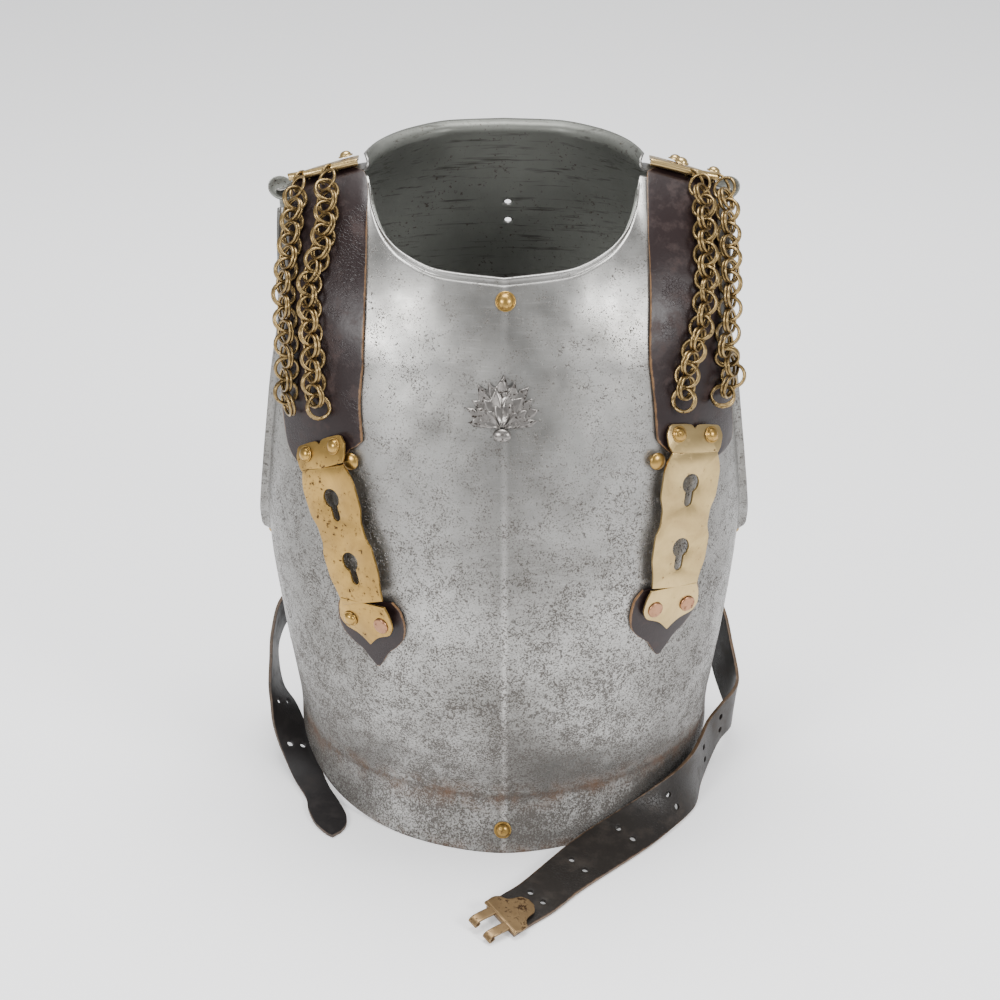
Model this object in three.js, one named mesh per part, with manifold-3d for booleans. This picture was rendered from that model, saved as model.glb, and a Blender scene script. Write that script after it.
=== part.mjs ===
// Heavy cavalry cuirass: a steel breastplate and backplate, leather shoulder straps that carry
// brass ring chains and keyhole end plates, and two leather waist belts that lie on the ground.
// Millimetres. X runs to the wearer's left, Y to the back, Z up. The plates stand on Z = 0.
import * as THREE from 'three';
import { mergeVertices } from 'three/addons/utils/BufferGeometryUtils.js';
import Module from 'manifold-3d';

const wasm = await Module();
wasm.setup();

// ---- Driving dimensions -------------------------------------------------------------------
const BREAST_WALL = 2.4;
const BACK_WALL = 1.8;
const CREASE_Z = 45; // where the flared skirt starts
const BLEND_Z = 380; // above this the plates curve to their own top edges
const CORNER_Z = 37; // how far the lower edge rises at the sides
const RIDGE = { height: 4, halfWidth: 60 };
const STRAP = { lift: 0.9, thick: 2.2 };
const BRASS = 1.8; // thickness of the brass end plates
const CHAIN = { radius: 6.2, lift: 9.9, sides: 6, steps: 20 };
const KEYHOLE = { radius: 7.2, slotHalf: 3.6, slotEnd: 17 };
const BELT_THICK = 2.6;
const GAP = 0.35; // clearance between pieces that touch on the real object

const STEEL = { colour: 0x9a9a98, roughness: 0.45, metalness: 0.9 };
const BRASS_LOOK = { colour: 0xb59a62, roughness: 0.4, metalness: 0.9 };
const COPPER = { colour: 0xb07a58, roughness: 0.4, metalness: 0.9 };
const LEATHER = { colour: 0x3a2c29, roughness: 0.6, metalness: 0 };
const DARK_LEATHER = { colour: 0x1f1b19, roughness: 0.6, metalness: 0 };

// ---- The two plates, as horizontal sections and a top edge -----------------------------------
// half: half width. depth: distance from the side seam plane. power: superellipse exponent.
const BREAST = {
  side: -1,
  wall: BREAST_WALL,
  ridge: RIDGE.height,
  sections: [
    { z: 0, half: 167, depth: 151.5, power: 1.75 },
    { z: 20, half: 162, depth: 144, power: 1.8 },
    { z: 45, half: 160.5, depth: 138.5, power: 1.9 },
    { z: 65, half: 161.5, depth: 143, power: 2.0 },
    { z: 90, half: 164.5, depth: 151, power: 2.05 },
    { z: 140, half: 171, depth: 159, power: 2.1 },
    { z: 205, half: 178, depth: 161, power: 2.1 },
    { z: 270, half: 179.5, depth: 152, power: 2.1 },
    { z: 335, half: 180, depth: 136.5, power: 2.1 },
    { z: 380, half: 180.5, depth: 120, power: 2.1 },
  ],
  arm: [
    { z: 0, y: 6 }, { z: 192, y: 6 }, { z: 201, y: 9.5 }, { z: 212, y: 15 }, { z: 230, y: 28 },
    { z: 255, y: 41 }, { z: 280, y: 50 }, { z: 330, y: 59 }, { z: 380, y: 62 },
  ],
  top: [
    { s: 0, x: 0, y: 90, z: 441, lean: 34 },
    { s: 0.22, x: 44, y: 85, z: 445, lean: 36 },
    { s: 0.38, x: 72, y: 69, z: 453, lean: 44 },
    { s: 0.48, x: 87, y: 49, z: 464, lean: 52 },
    { s: 0.57, x: 93.5, y: 29, z: 475, lean: 60 },
    { s: 0.67, x: 96.5, y: 10, z: 486, lean: 66 },
    { s: 0.83, x: 127, y: 11, z: 477, lean: 62 },
    { s: 1, x: 156, y: 14, z: 464, lean: 52 },
  ],
  flange: [
    { z: 0, width: 5.5, turn: 0 }, { z: 193, width: 5.5, turn: 0 }, { z: 201, width: 11, turn: 56 },
    { z: 250, width: 8.5, turn: 62 }, { z: 330, width: 6.5, turn: 68 }, { z: 400, width: 5, turn: 70 },
    { z: 470, width: 4, turn: 60 },
  ],
  rim: { to: 0, width: 0, turn: 0, endWidth: 0 },
};

const BACK = {
  side: 1,
  wall: BACK_WALL,
  ridge: 0,
  sections: [
    { z: 0, half: 167, depth: 112, power: 1.85 },
    { z: 20, half: 162, depth: 106, power: 1.9 },
    { z: 45, half: 160.5, depth: 101, power: 2.0 },
    { z: 65, half: 161.5, depth: 101, power: 2.05 },
    { z: 90, half: 164.5, depth: 104, power: 2.1 },
    { z: 140, half: 171, depth: 110, power: 2.15 },
    { z: 205, half: 178, depth: 118, power: 2.15 },
    { z: 280, half: 179.5, depth: 123, power: 2.15 },
    { z: 335, half: 180, depth: 122, power: 2.1 },
    { z: 380, half: 179, depth: 117, power: 2.1 },
  ],
  arm: [
    { z: 0, y: 6 }, { z: 192, y: 6 }, { z: 201, y: 9 }, { z: 212, y: 13 }, { z: 230, y: 24 },
    { z: 255, y: 36 }, { z: 280, y: 45 }, { z: 330, y: 54 }, { z: 380, y: 53 },
  ],
  top: [
    { s: 0, x: 0, y: 85, z: 486, lean: 20 },
    { s: 0.2, x: 38, y: 80, z: 486, lean: 24 },
    { s: 0.35, x: 67, y: 62, z: 486, lean: 36 },
    { s: 0.48, x: 87, y: 36, z: 486, lean: 60 },
    { s: 0.58, x: 95.5, y: 14, z: 487, lean: 82 },
    { s: 0.65, x: 99, y: 1.5, z: 487, lean: 92 },
    { s: 0.83, x: 131, y: 2, z: 479, lean: 92 },
    { s: 1, x: 159, y: 6, z: 470, lean: 80 },
  ],
  flange: [
    { z: 0, width: 5.5, turn: 0 }, { z: 194, width: 5.5, turn: 0 }, { z: 204, width: 9, turn: 60 },
    { z: 250, width: 8, turn: 70 }, { z: 330, width: 6, turn: 70 }, { z: 400, width: 4.5, turn: 70 },
    { z: 470, width: 4, turn: 30 },
  ],
  rim: { to: 0.6, width: 11, turn: 96, endWidth: 2 },
};

const COLUMNS = 22;
const FLARE_ROWS = 3;
const BODY_HEIGHTS = [45, 60, 88, 132, 192, 201, 212, 240, 275, 312, 346];
const SHOULDER_ROWS = 6;
const EDGE_STEPS = [0.4, 1];
const RIM_FADE = 0.07; // share across over which the collar rim ends

// ---- Small tools ------------------------------------------------------------------------------
const vec = (x, y, z) => new THREE.Vector3(x, y, z);
const lerp = (a, b, f) => a + (b - a) * f;
const range = (n) => [...Array(n).keys()];
const rad = (degrees) => (degrees * Math.PI) / 180;
const smooth = (f) => f * f * (3 - 2 * f);

// A smooth value from a table of stations: cubic Hermite with slopes limited to stay monotone.
function tableValue(rows, at, key, value) {
  const last = rows.length - 1;
  if (value <= rows[0][at]) return rows[0][key];
  if (value >= rows[last][at]) return rows[last][key];
  let i = 0;
  while (value > rows[i + 1][at]) i += 1;
  const secant = (k) => (rows[k + 1][key] - rows[k][key]) / (rows[k + 1][at] - rows[k][at]);
  const slope = (k) => {
    if (k <= 0) return secant(0);
    if (k >= last) return secant(last - 1);
    const [a, b] = [secant(k - 1), secant(k)];
    return a * b <= 0 ? 0 : (2 * a * b) / (a + b);
  };
  const h = rows[i + 1][at] - rows[i][at];
  const f = (value - rows[i][at]) / h;
  const [p0, p1] = [rows[i][key], rows[i + 1][key]];
  const [m0, m1] = [slope(i) * h, slope(i + 1) * h];
  const f2 = f * f;
  const f3 = f2 * f;
  return (2 * f3 - 3 * f2 + 1) * p0 + (f3 - 2 * f2 + f) * m0 + (3 * f2 - 2 * f3) * p1 + (f3 - f2) * m1;
}

function geometryFrom(points, triangles) {
  const geometry = new THREE.BufferGeometry();
  const numbers = points.flatMap((p) => p.toArray());
  geometry.setAttribute('position', new THREE.Float32BufferAttribute(numbers, 3));
  geometry.setIndex(triangles);
  return geometry;
}

function signedVolume(geometry) {
  const p = geometry.attributes.position;
  const index = geometry.index.array;
  const [a, b, c] = [vec(0, 0, 0), vec(0, 0, 0), vec(0, 0, 0)];
  let total = 0;
  for (let i = 0; i < index.length; i += 3) {
    a.fromBufferAttribute(p, index[i]);
    b.fromBufferAttribute(p, index[i + 1]);
    c.fromBufferAttribute(p, index[i + 2]);
    total += a.dot(b.cross(c));
  }
  return total / 6;
}

function faceOut(geometry) {
  if (signedVolume(geometry) >= 0) return geometry;
  const index = geometry.index.array;
  for (let i = 0; i < index.length; i += 3) {
    [index[i], index[i + 1]] = [index[i + 1], index[i]];
  }
  return geometry;
}

// A closed solid between two matching grids of points, such as a plate's two faces.
function slab(outer, inner) {
  const rows = outer.length;
  const cols = outer[0].length;
  const points = [...outer.flat(), ...inner.flat()];
  const id = (r, c, face) => face * rows * cols + r * cols + c;
  const triangles = [];
  const quad = (a, b, c, d) => triangles.push(a, b, c, a, c, d);
  for (let r = 0; r < rows - 1; r += 1) {
    for (let c = 0; c < cols - 1; c += 1) {
      quad(id(r, c, 0), id(r, c + 1, 0), id(r + 1, c + 1, 0), id(r + 1, c, 0));
      quad(id(r, c, 1), id(r + 1, c, 1), id(r + 1, c + 1, 1), id(r, c + 1, 1));
    }
  }
  const loop = [
    ...range(cols).map((c) => [0, c]),
    ...range(rows).slice(1).map((r) => [r, cols - 1]),
    ...range(cols - 1).map((c) => [rows - 1, cols - 2 - c]),
    ...range(rows - 2).map((r) => [rows - 2 - r, 0]),
  ];
  loop.forEach(([r, c], i) => {
    const [r2, c2] = loop[(i + 1) % loop.length];
    quad(id(r, c, 0), id(r, c, 1), id(r2, c2, 1), id(r2, c2, 0));
  });
  return faceOut(geometryFrom(points, triangles));
}

function gridNormals(grid) {
  const within = (i, count) => Math.max(0, Math.min(count - 1, i));
  const at = (r, c) => grid[within(r, grid.length)][within(c, grid[0].length)];
  return grid.map((row, r) => row.map((_, c) => {
    const across = at(r, c + 1).clone().sub(at(r, c - 1));
    const along = at(r + 1, c).clone().sub(at(r - 1, c));
    return across.cross(along).normalize();
  }));
}

function toSolid(geometry) {
  const bare = geometry.clone();
  bare.deleteAttribute('normal');
  bare.deleteAttribute('uv');
  const merged = mergeVertices(bare, 1e-4);
  const mesh = new wasm.Mesh({
    numProp: 3,
    vertProperties: new Float32Array(merged.attributes.position.array),
    triVerts: new Uint32Array(merged.index.array),
  });
  return new wasm.Manifold(mesh);
}

function fromSolid(solid) {
  const mesh = solid.getMesh();
  const geometry = new THREE.BufferGeometry();
  geometry.setAttribute('position', new THREE.Float32BufferAttribute(Array.from(mesh.vertProperties), 3));
  geometry.setIndex(Array.from(mesh.triVerts));
  return geometry;
}

const join = (...parts) => fromSolid(parts.map(toSolid).reduce((a, b) => a.add(b)));
const cut = (body, ...tools) => {
  return fromSolid(tools.map(toSolid).reduce((a, b) => a.subtract(b), toSolid(body)));
};

// Turns a shape made along +Z so that it stands on a point, along a direction.
function standOn(geometry, point, direction) {
  const turn = new THREE.Quaternion().setFromUnitVectors(vec(0, 0, 1), direction.clone().normalize());
  return geometry.applyQuaternion(turn).translate(point.x, point.y, point.z);
}

function lathe(profile, sides) {
  const geometry = new THREE.LatheGeometry(profile.map(([r, z]) => new THREE.Vector2(r, z)), sides);
  geometry.rotateX(Math.PI / 2);
  geometry.deleteAttribute('uv');
  geometry.deleteAttribute('normal');
  return faceOut(dropSlivers(mergeVertices(geometry, 1e-4)));
}

function dropSlivers(geometry) {
  const index = Array.from(geometry.index.array);
  const kept = [];
  for (let i = 0; i < index.length; i += 3) {
    const [a, b, c] = index.slice(i, i + 3);
    if (a !== b && b !== c && a !== c) kept.push(a, b, c);
  }
  geometry.setIndex(kept);
  return geometry;
}

// ---- The plates' surface ------------------------------------------------------------------------
// s runs from -1 to 1 across a plate. v runs 0..1 up the skirt, 1..2 up the body, 2..3 to the top.
const edgeRise = (s) => CORNER_Z * Math.max(0, (Math.abs(s) - 0.3) / 0.7) ** 2;

function sectionPoint(plate, s, z) {
  const half = tableValue(plate.sections, 'z', 'half', z);
  const depth = tableValue(plate.sections, 'z', 'depth', z);
  const power = 2 / tableValue(plate.sections, 'z', 'power', z);
  const edge = tableValue(plate.arm, 'z', 'y', z);
  const widest = Math.acos((edge / depth) ** (1 / power));
  const angle = Math.abs(s) * widest;
  const x = Math.sign(s) * half * Math.sin(angle) ** power;
  const rise = THREE.MathUtils.clamp((z - 20) / 60, 0, 1);
  const crest = rise * plate.ridge * Math.max(0, 1 - Math.abs(x) / RIDGE.halfWidth) ** 2;
  const y = depth * Math.cos(angle) ** power + crest;
  return vec(x, plate.side * y, z);
}

function topPoint(plate, s) {
  const value = (key) => tableValue(plate.top, 's', key, Math.abs(s));
  return vec(Math.sign(s) * value('x'), plate.side * value('y'), value('z'));
}

function platePoint(plate, s, v) {
  if (v <= 1) return sectionPoint(plate, s, lerp(edgeRise(s), CREASE_Z, v));
  if (v <= 2) return sectionPoint(plate, s, lerp(CREASE_Z, BLEND_Z, v - 1));
  const start = sectionPoint(plate, s, BLEND_Z);
  const end = topPoint(plate, s);
  const length = end.distanceTo(start);
  const leave = start.clone().sub(sectionPoint(plate, s, BLEND_Z - 4)).normalize().multiplyScalar(length);
  const lean = rad(tableValue(plate.top, 's', 'lean', Math.abs(s)));
  const arrive = vec(0, -plate.side * Math.sin(lean), Math.cos(lean)).multiplyScalar(length);
  const u = v - 2;
  return start.multiplyScalar(2 * u ** 3 - 3 * u ** 2 + 1)
    .addScaledVector(leave, u ** 3 - 2 * u ** 2 + u)
    .addScaledVector(end, 3 * u ** 2 - 2 * u ** 3)
    .addScaledVector(arrive, u ** 3 - u ** 2);
}

function plateNormal(plate, s, v) {
  const step = 1e-3;
  const across = platePoint(plate, s + step, v).sub(platePoint(plate, s - step, v));
  const up = platePoint(plate, s, Math.min(3, v + step)).sub(platePoint(plate, s, v - step));
  const normal = across.cross(up).normalize();
  return plate.side < 0 ? normal : normal.negate();
}

const raised = (plate, s, v, lift) => {
  return platePoint(plate, s, v).addScaledVector(plateNormal(plate, s, v), lift);
};

const atHeight = (z) => 1 + (z - CREASE_Z) / (BLEND_Z - CREASE_Z);

// Where a plate has two given coordinates: Newton's method on s and v.
function locate(plate, keyA, a, keyB, b) {
  const step = 1e-3;
  let s = a / 190;
  let v = atHeight(b);
  for (let i = 0; i < 20; i += 1) {
    const here = platePoint(plate, s, v);
    const ds = platePoint(plate, s + step, v).sub(here).divideScalar(step);
    const dv = platePoint(plate, s, v - step).sub(here).divideScalar(-step);
    const det = ds[keyA] * dv[keyB] - ds[keyB] * dv[keyA];
    const [ea, eb] = [a - here[keyA], b - here[keyB]];
    s += THREE.MathUtils.clamp((ea * dv[keyB] - eb * dv[keyA]) / det, -0.1, 0.1);
    v += THREE.MathUtils.clamp((eb * ds[keyA] - ea * ds[keyB]) / det, -0.2, 0.2);
    s = THREE.MathUtils.clamp(s, -1, 1);
    v = THREE.MathUtils.clamp(v, 0.01, 2.999);
  }
  return { s, v };
}

function onChest(x, z, lift) {
  const { s, v } = locate(BREAST, 'x', x, 'z', z);
  return raised(BREAST, s, v, lift);
}

function chestNormal(x, z) {
  const { s, v } = locate(BREAST, 'x', x, 'z', z);
  return plateNormal(BREAST, s, v);
}

// A strip that leaves an edge and turns outwards on a small bend: how far along and how far out.
function turnedEdge(width, turn, fraction, bend) {
  const angle = rad(turn);
  const arc = Math.min(width, bend * angle);
  const length = width * fraction;
  if (angle < 0.01) return { along: length, out: 0 };
  const radius = arc / angle;
  const swept = Math.min(length, arc) / radius;
  const straight = Math.max(0, length - arc);
  return {
    along: radius * Math.sin(swept) + straight * Math.cos(angle),
    out: radius * (1 - Math.cos(swept)) + straight * Math.sin(angle),
  };
}

function plateRows() {
  return [
    ...range(FLARE_ROWS).map((i) => i / FLARE_ROWS),
    ...BODY_HEIGHTS.map(atHeight),
    ...range(SHOULDER_ROWS + 1).map((i) => 2 + i / SHOULDER_ROWS),
  ];
}

// The outer face of a plate: its own surface, then the armhole flanges, then the collar rim.
function plateFace(plate) {
  const columns = range(COLUMNS + 1).map((i) => -1 + (2 * i) / COLUMNS);
  const face = plateRows().map((v) => {
    const row = columns.map((s) => platePoint(plate, s, v));
    const side = (s) => {
      const edge = platePoint(plate, s, v);
      const out = edge.clone().sub(platePoint(plate, s * 0.99, v)).normalize();
      const normal = plateNormal(plate, s, v);
      const width = tableValue(plate.flange, 'z', 'width', edge.z);
      const turn = tableValue(plate.flange, 'z', 'turn', edge.z);
      return EDGE_STEPS.map((f) => {
        const strip = turnedEdge(width, turn, f, 5);
        return edge.clone().addScaledVector(out, strip.along).addScaledVector(normal, strip.out);
      });
    };
    return [...side(-1).reverse(), ...row, ...side(1)];
  });
  return plate.rim.width ? [...face, ...collarRows(plate, columns)] : face;
}

function collarRows(plate, columns) {
  const margin = EDGE_STEPS.length;
  const all = [...Array(margin).fill(-1), ...columns, ...Array(margin).fill(1)];
  return EDGE_STEPS.map((f) => all.map((s, i) => {
    const inside = 1 - smooth(THREE.MathUtils.clamp((Math.abs(s) - plate.rim.to) / RIM_FADE, 0, 1));
    const edge = i < margin || i >= all.length - margin ? null : platePoint(plate, s, 3);
    const base = edge ?? flangeCorner(plate, s, i < margin ? margin - 1 - i : i - all.length + margin);
    const up = platePoint(plate, s, 3).sub(platePoint(plate, s, 2.98)).normalize();
    const width = lerp(plate.rim.endWidth, plate.rim.width, inside);
    const strip = turnedEdge(width, plate.rim.turn * inside, f, 3.5);
    const out = plateNormal(plate, s, 3);
    return base.clone().addScaledVector(up, strip.along).addScaledVector(out, strip.out);
  }));
}

function flangeCorner(plate, s, step) {
  const edge = platePoint(plate, s, 3);
  const out = edge.clone().sub(platePoint(plate, s * 0.99, 3)).normalize();
  const width = tableValue(plate.flange, 'z', 'width', edge.z);
  const turn = tableValue(plate.flange, 'z', 'turn', edge.z);
  const strip = turnedEdge(width, turn, EDGE_STEPS[step], 5);
  return edge.addScaledVector(out, strip.along).addScaledVector(plateNormal(plate, s, 3), strip.out);
}

function plateSolid(plate) {
  const outer = plateFace(plate);
  const sign = plate.side < 0 ? 1 : -1;
  const normals = gridNormals(outer).map((row) => row.map((n) => n.multiplyScalar(sign)));
  const inner = outer.map((row, r) => row.map((p, c) => {
    const n = normals[r][c].clone();
    if (r === 0) n.setZ(0).normalize();
    return p.clone().addScaledVector(n, -plate.wall);
  }));
  const flat = (p) => p.setZ(Math.max(0, p.z));
  return slab(outer.map((row) => row.map(flat)), inner.map((row) => row.map(flat)));
}

// ---- Pieces on the plates ------------------------------------------------------------------------
function domeRivet(radius, height, rim = 0.7) {
  const dome = range(4).map((i) => {
    const angle = rad(i * 30);
    return [radius * 0.86 * Math.cos(angle), rim + (height - rim) * Math.sin(angle)];
  });
  dome[3][0] = 0;
  return lathe([[0, 0], [radius, 0], ...dome], 8);
}

function flatRivet(radius, height) {
  return lathe([[0, 0], [radius, 0], [radius * 0.85, height], [0, height]], 10);
}

function buttonStud() {
  return lathe([[0, 0], [2.6, 0], [2.6, 3.2], [6.2, 3.4], [6.2, 4.2], [4.4, 6], [0, 6.7]], 10);
}

// Flames fan out from the base, each with a raised crest, and a ball sits below them.
function grenadeBadge() {
  const flames = 7;
  const columns = flames * 2 + 1;
  const base = { x: -1, z: 348 };
  const place = (f, share, lift) => {
    const angle = rad(lerp(-84, 84, f / (columns - 1)));
    const tip = f % 2 ? 1 : 0.78;
    const reach = (26 + 9 * Math.cos(angle) ** 2) * tip;
    const radius = lerp(1.5, reach, share);
    return onChest(base.x + Math.sin(angle) * radius, base.z + Math.cos(angle) * radius, lift);
  };
  const shares = [0, 0.4, 0.75, 1];
  const grid = (lift, crest) => shares.map((share) => range(columns).map((f) => {
    return place(f, share, lift + (f % 2 ? crest * (1 - share * 0.6) : 0));
  }));
  const fan = slab(grid(2.8, 1.4), grid(0.8, 0));
  const ball = new THREE.SphereGeometry(1, 12, 8).scale(6.5, 3.4, 4.8);
  const at = onChest(-1, 344.5, 3.2);
  ball.translate(at.x, at.y, at.z);
  const clearOfPlate = new THREE.BoxGeometry(30, 10, 24);
  const back = onChest(-1, 344.5, 1.3);
  clearOfPlate.translate(back.x, back.y + 5, back.z);
  return join(fan, cut(ball, clearOfPlate));
}

// ---- Shoulder leathers ------------------------------------------------------------------------
// v as on the breastplate; inner and outer are shares across it.
const SHOULDER_LEATHER = {
  right: [
    { v: 1.752, inner: 0.62, outer: 0.71 }, { v: 1.768, inner: 0.565, outer: 0.795 },
    { v: 1.79, inner: 0.545, outer: 0.84 }, { v: 1.82, inner: 0.54, outer: 0.87 },
    { v: 1.85, inner: 0.485, outer: 0.895 }, { v: 1.88, inner: 0.495, outer: 0.915 },
    { v: 1.93, inner: 0.513, outer: 0.94 }, { v: 2.1, inner: 0.535, outer: 0.965 },
    { v: 2.38, inner: 0.554, outer: 0.97 }, { v: 2.65, inner: 0.575, outer: 0.97 },
    { v: 2.81, inner: 0.622, outer: 0.965 }, { v: 3, inner: 0.69, outer: 0.955 },
  ],
  left: [
    { v: 1.764, inner: 0.73, outer: 0.85 }, { v: 1.778, inner: 0.675, outer: 0.925 },
    { v: 1.8, inner: 0.61, outer: 0.95 }, { v: 1.823, inner: 0.565, outer: 0.955 },
    { v: 1.85, inner: 0.533, outer: 0.958 }, { v: 1.92, inner: 0.539, outer: 0.96 },
    { v: 2.15, inner: 0.564, outer: 0.965 }, { v: 2.4, inner: 0.605, outer: 0.97 },
    { v: 2.6, inner: 0.65, outer: 0.97 }, { v: 2.76, inner: 0.687, outer: 0.965 },
    { v: 2.9, inner: 0.7, outer: 0.96 }, { v: 3, inner: 0.705, outer: 0.955 },
  ],
};
const LEATHER_CELLS = 5;
// Rows on the backplate's shoulder, from the front edge to the rear, with the sheet's height.
const SHOULDER_ROWS_BACK = [
  { v: 2.99, leather: 2.6, brass: 6.2 },
  { v: 2.94, leather: 2.2, brass: 5.2 },
  { v: 2.87, leather: 1.6, brass: 4.6 },
];

function shoulderLeather(name, side) {
  const across = (inner, outer, i) => side * lerp(inner, outer, i / LEATHER_CELLS);
  const table = SHOULDER_LEATHER[name];
  const lower = table.map((row) => row.v).filter((v) => v < 2);
  const heights = [...lower, ...range(SHOULDER_ROWS + 1).map((i) => 2 + i / SHOULDER_ROWS)];
  const face = (thick) => {
    const onBreast = heights.map((v) => {
      const lift = STRAP.lift + thick + 2 * THREE.MathUtils.clamp((v - 2.7) / 0.3, 0, 1);
      const inner = tableValue(table, 'v', 'inner', v);
      const outer = tableValue(table, 'v', 'outer', v);
      return range(LEATHER_CELLS + 1).map((i) => raised(BREAST, across(inner, outer, i), v, lift));
    });
    const onBack = SHOULDER_ROWS_BACK.map((row) => range(LEATHER_CELLS + 1).map((i) => {
      return raised(BACK, across(0.73, 0.945, i), row.v, row.leather + thick);
    }));
    return [...onBreast, ...onBack];
  };
  return slab(face(STRAP.thick), face(0));
}

// The brass plate over each shoulder, with its front edge rolled into a bead for the chains.
const SHOULDER_PLATE = {
  inner: 0.7, outer: 0.95, cells: 6, thick: 1.5, bead: 2.8, beadLift: 8.2, reach: 8,
};

function shoulderEdge(s, lift, reach) {
  const up = platePoint(BACK, s, 3).sub(platePoint(BACK, s, 2.98)).normalize();
  return raised(BACK, s, 3, lift).addScaledVector(up, reach);
}

function shoulderPlate(side) {
  const { inner, outer, cells, thick, bead, beadLift, reach } = SHOULDER_PLATE;
  const columns = range(cells + 1).map((i) => side * lerp(inner, outer, i / cells));
  const face = (lift) => {
    const rear = columns.map((s) => raised(BACK, s, 2.8, 2.2 + lift));
    const rows = [...SHOULDER_ROWS_BACK].reverse();
    const middle = rows.map((row) => columns.map((s) => raised(BACK, s, row.v, row.brass + lift)));
    const lip = columns.map((s) => shoulderEdge(s, beadLift + bead - thick + lift, reach - 1));
    return [rear, ...middle, lip];
  };
  const sheet = slab(face(thick), face(0));
  const beadPath = columns.map((s) => shoulderEdge(s, beadLift, reach));
  return join(sheet, tube(beadPath, bead, 6, cells));
}

function tube(points, radius, sides, steps) {
  const path = new THREE.CatmullRomCurve3(points, false, 'centripetal');
  const circle = range(sides).map((i) => {
    const angle = (i / sides) * 2 * Math.PI;
    return new THREE.Vector2(radius * Math.cos(angle), radius * Math.sin(angle));
  });
  const settings = { steps, extrudePath: path, bevelEnabled: false };
  return new THREE.ExtrudeGeometry(new THREE.Shape(circle), settings);
}

// ---- Keyhole end plates ------------------------------------------------------------------------
// Each is three flat panels. Outlines are half widths at distances down a panel.
const UPPER_FLAP = [
  { down: 0, half: 20 }, { down: 5, half: 23 }, { down: 13, half: 24.5 }, { down: 19, half: 22 },
];
const MAIN_PANEL = [
  { down: 0, half: 20 }, { down: 7, half: 23 }, { down: 15, half: 24.5 }, { down: 30, half: 24.3 },
  { down: 42, half: 21 }, { down: 52, half: 20.8 }, { down: 62, half: 23.6 }, { down: 76, half: 23.4 },
  { down: 90, half: 20.5 }, { down: 98, half: 19.5 },
];
const LOWER_FLAP = [
  { down: 0, half: 19.5 }, { down: 8, half: 22.5 }, { down: 16, half: 23.5 }, { down: 23, half: 20 },
  { down: 27, half: 10 }, { down: 30, half: 5.5 }, { down: 35, half: 0 },
];
const TONGUE = [
  { down: 1, half: 21 }, { down: 8, half: 27 }, { down: 18, half: 28.5 }, { down: 27, half: 26.5 },
  { down: 34, half: 20 }, { down: 40, half: 11 }, { down: 45, half: 7 }, { down: 52, half: 1.2 },
];
const END_PLATES = {
  right: {
    upper: [-125.8, 318.5], top: [-121.8, 306], bottom: [-96.2, 215], tip: [-89, 158], heading: -35,
  },
  left: {
    upper: [130.6, 328], top: [128.6, 314.6], bottom: [116.3, 220], tip: [110, 160], heading: 31,
  },
};

// A flat frame on the chest: across, down and out, from two points and a heading in plan.
function panelFrame(from, to, heading) {
  const down = to.clone().sub(from).normalize();
  const out = vec(Math.sin(rad(heading)), -Math.cos(rad(heading)), 0);
  out.addScaledVector(down, -out.dot(down)).normalize();
  const across = out.clone().cross(down).normalize();
  return { origin: from, across, down, out, length: to.distanceTo(from) };
}

function panel(frame, outline, thick, holes = [], up = 1) {
  const left = outline.map((row) => new THREE.Vector2(-row.half, row.down * up));
  const right = outline.map((row) => new THREE.Vector2(row.half, row.down * up)).reverse();
  const loop = [...left, ...right.filter((p) => Math.abs(p.x) > 0.01)];
  const shape = new THREE.Shape(loop);
  shape.holes = holes;
  const geometry = new THREE.ExtrudeGeometry(shape, { depth: thick, bevelEnabled: false });
  return faceOut(placeOn(geometry, frame));
}

function placeOn(geometry, frame) {
  const bare = geometry.clone();
  bare.deleteAttribute('normal');
  bare.deleteAttribute('uv');
  const merged = mergeVertices(bare, 1e-4);
  const basis = new THREE.Matrix4().makeBasis(frame.across, frame.down, frame.out);
  return merged.applyMatrix4(basis.setPosition(frame.origin));
}

function keyhole(down) {
  const { radius, slotHalf, slotEnd } = KEYHOLE;
  const start = Math.asin(slotHalf / radius);
  const round = range(11).map((i) => {
    const angle = Math.PI / 2 + start + (i / 10) * (2 * Math.PI - 2 * start);
    return new THREE.Vector2(radius * Math.cos(angle), down + radius * Math.sin(angle));
  });
  const foot = down + slotEnd - slotHalf;
  const slot = range(5).map((i) => {
    const angle = (i / 4) * Math.PI;
    return new THREE.Vector2(slotHalf * Math.cos(angle), foot + slotHalf * Math.sin(angle));
  });
  return new THREE.Path([...round, ...slot]);
}

function endPlateFrames(plate) {
  const upper = onChest(...plate.upper, STRAP.lift + STRAP.thick + 1.8);
  const top = onChest(...plate.top, 8.5);
  const bottom = onChest(...plate.bottom, 8);
  const tip = onChest(...plate.tip, 5.2);
  return {
    flap: panelFrame(top, upper, plate.heading),
    main: panelFrame(top, bottom, plate.heading),
    lower: panelFrame(bottom, tip, plate.heading),
  };
}

function endPlate(plate) {
  const frames = endPlateFrames(plate);
  const stretch = frames.main.length / 98;
  const body = MAIN_PANEL.map((row) => ({ ...row, down: row.down * stretch }));
  const holes = [keyhole(22), keyhole(69.5)];
  const parts = [
    panel(frames.flap, UPPER_FLAP, BRASS),
    panel(frames.main, body, BRASS, holes),
    panel(frames.lower, LOWER_FLAP, BRASS),
    hinge(frames.main, 0, MAIN_PANEL[0].half),
    hinge(frames.main, frames.main.length, LOWER_FLAP[0].half),
  ];
  return join(...parts);
}

// A round bar along a bend, so that neighbouring panels meet without a notch.
function hinge(frame, down, half) {
  const centre = onPanel(frame, 0, down, BRASS / 2);
  const bar = new THREE.CylinderGeometry(BRASS / 2, BRASS / 2, 2 * half, 8);
  bar.rotateX(Math.PI / 2);
  return standOn(bar, centre, frame.across);
}

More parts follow.
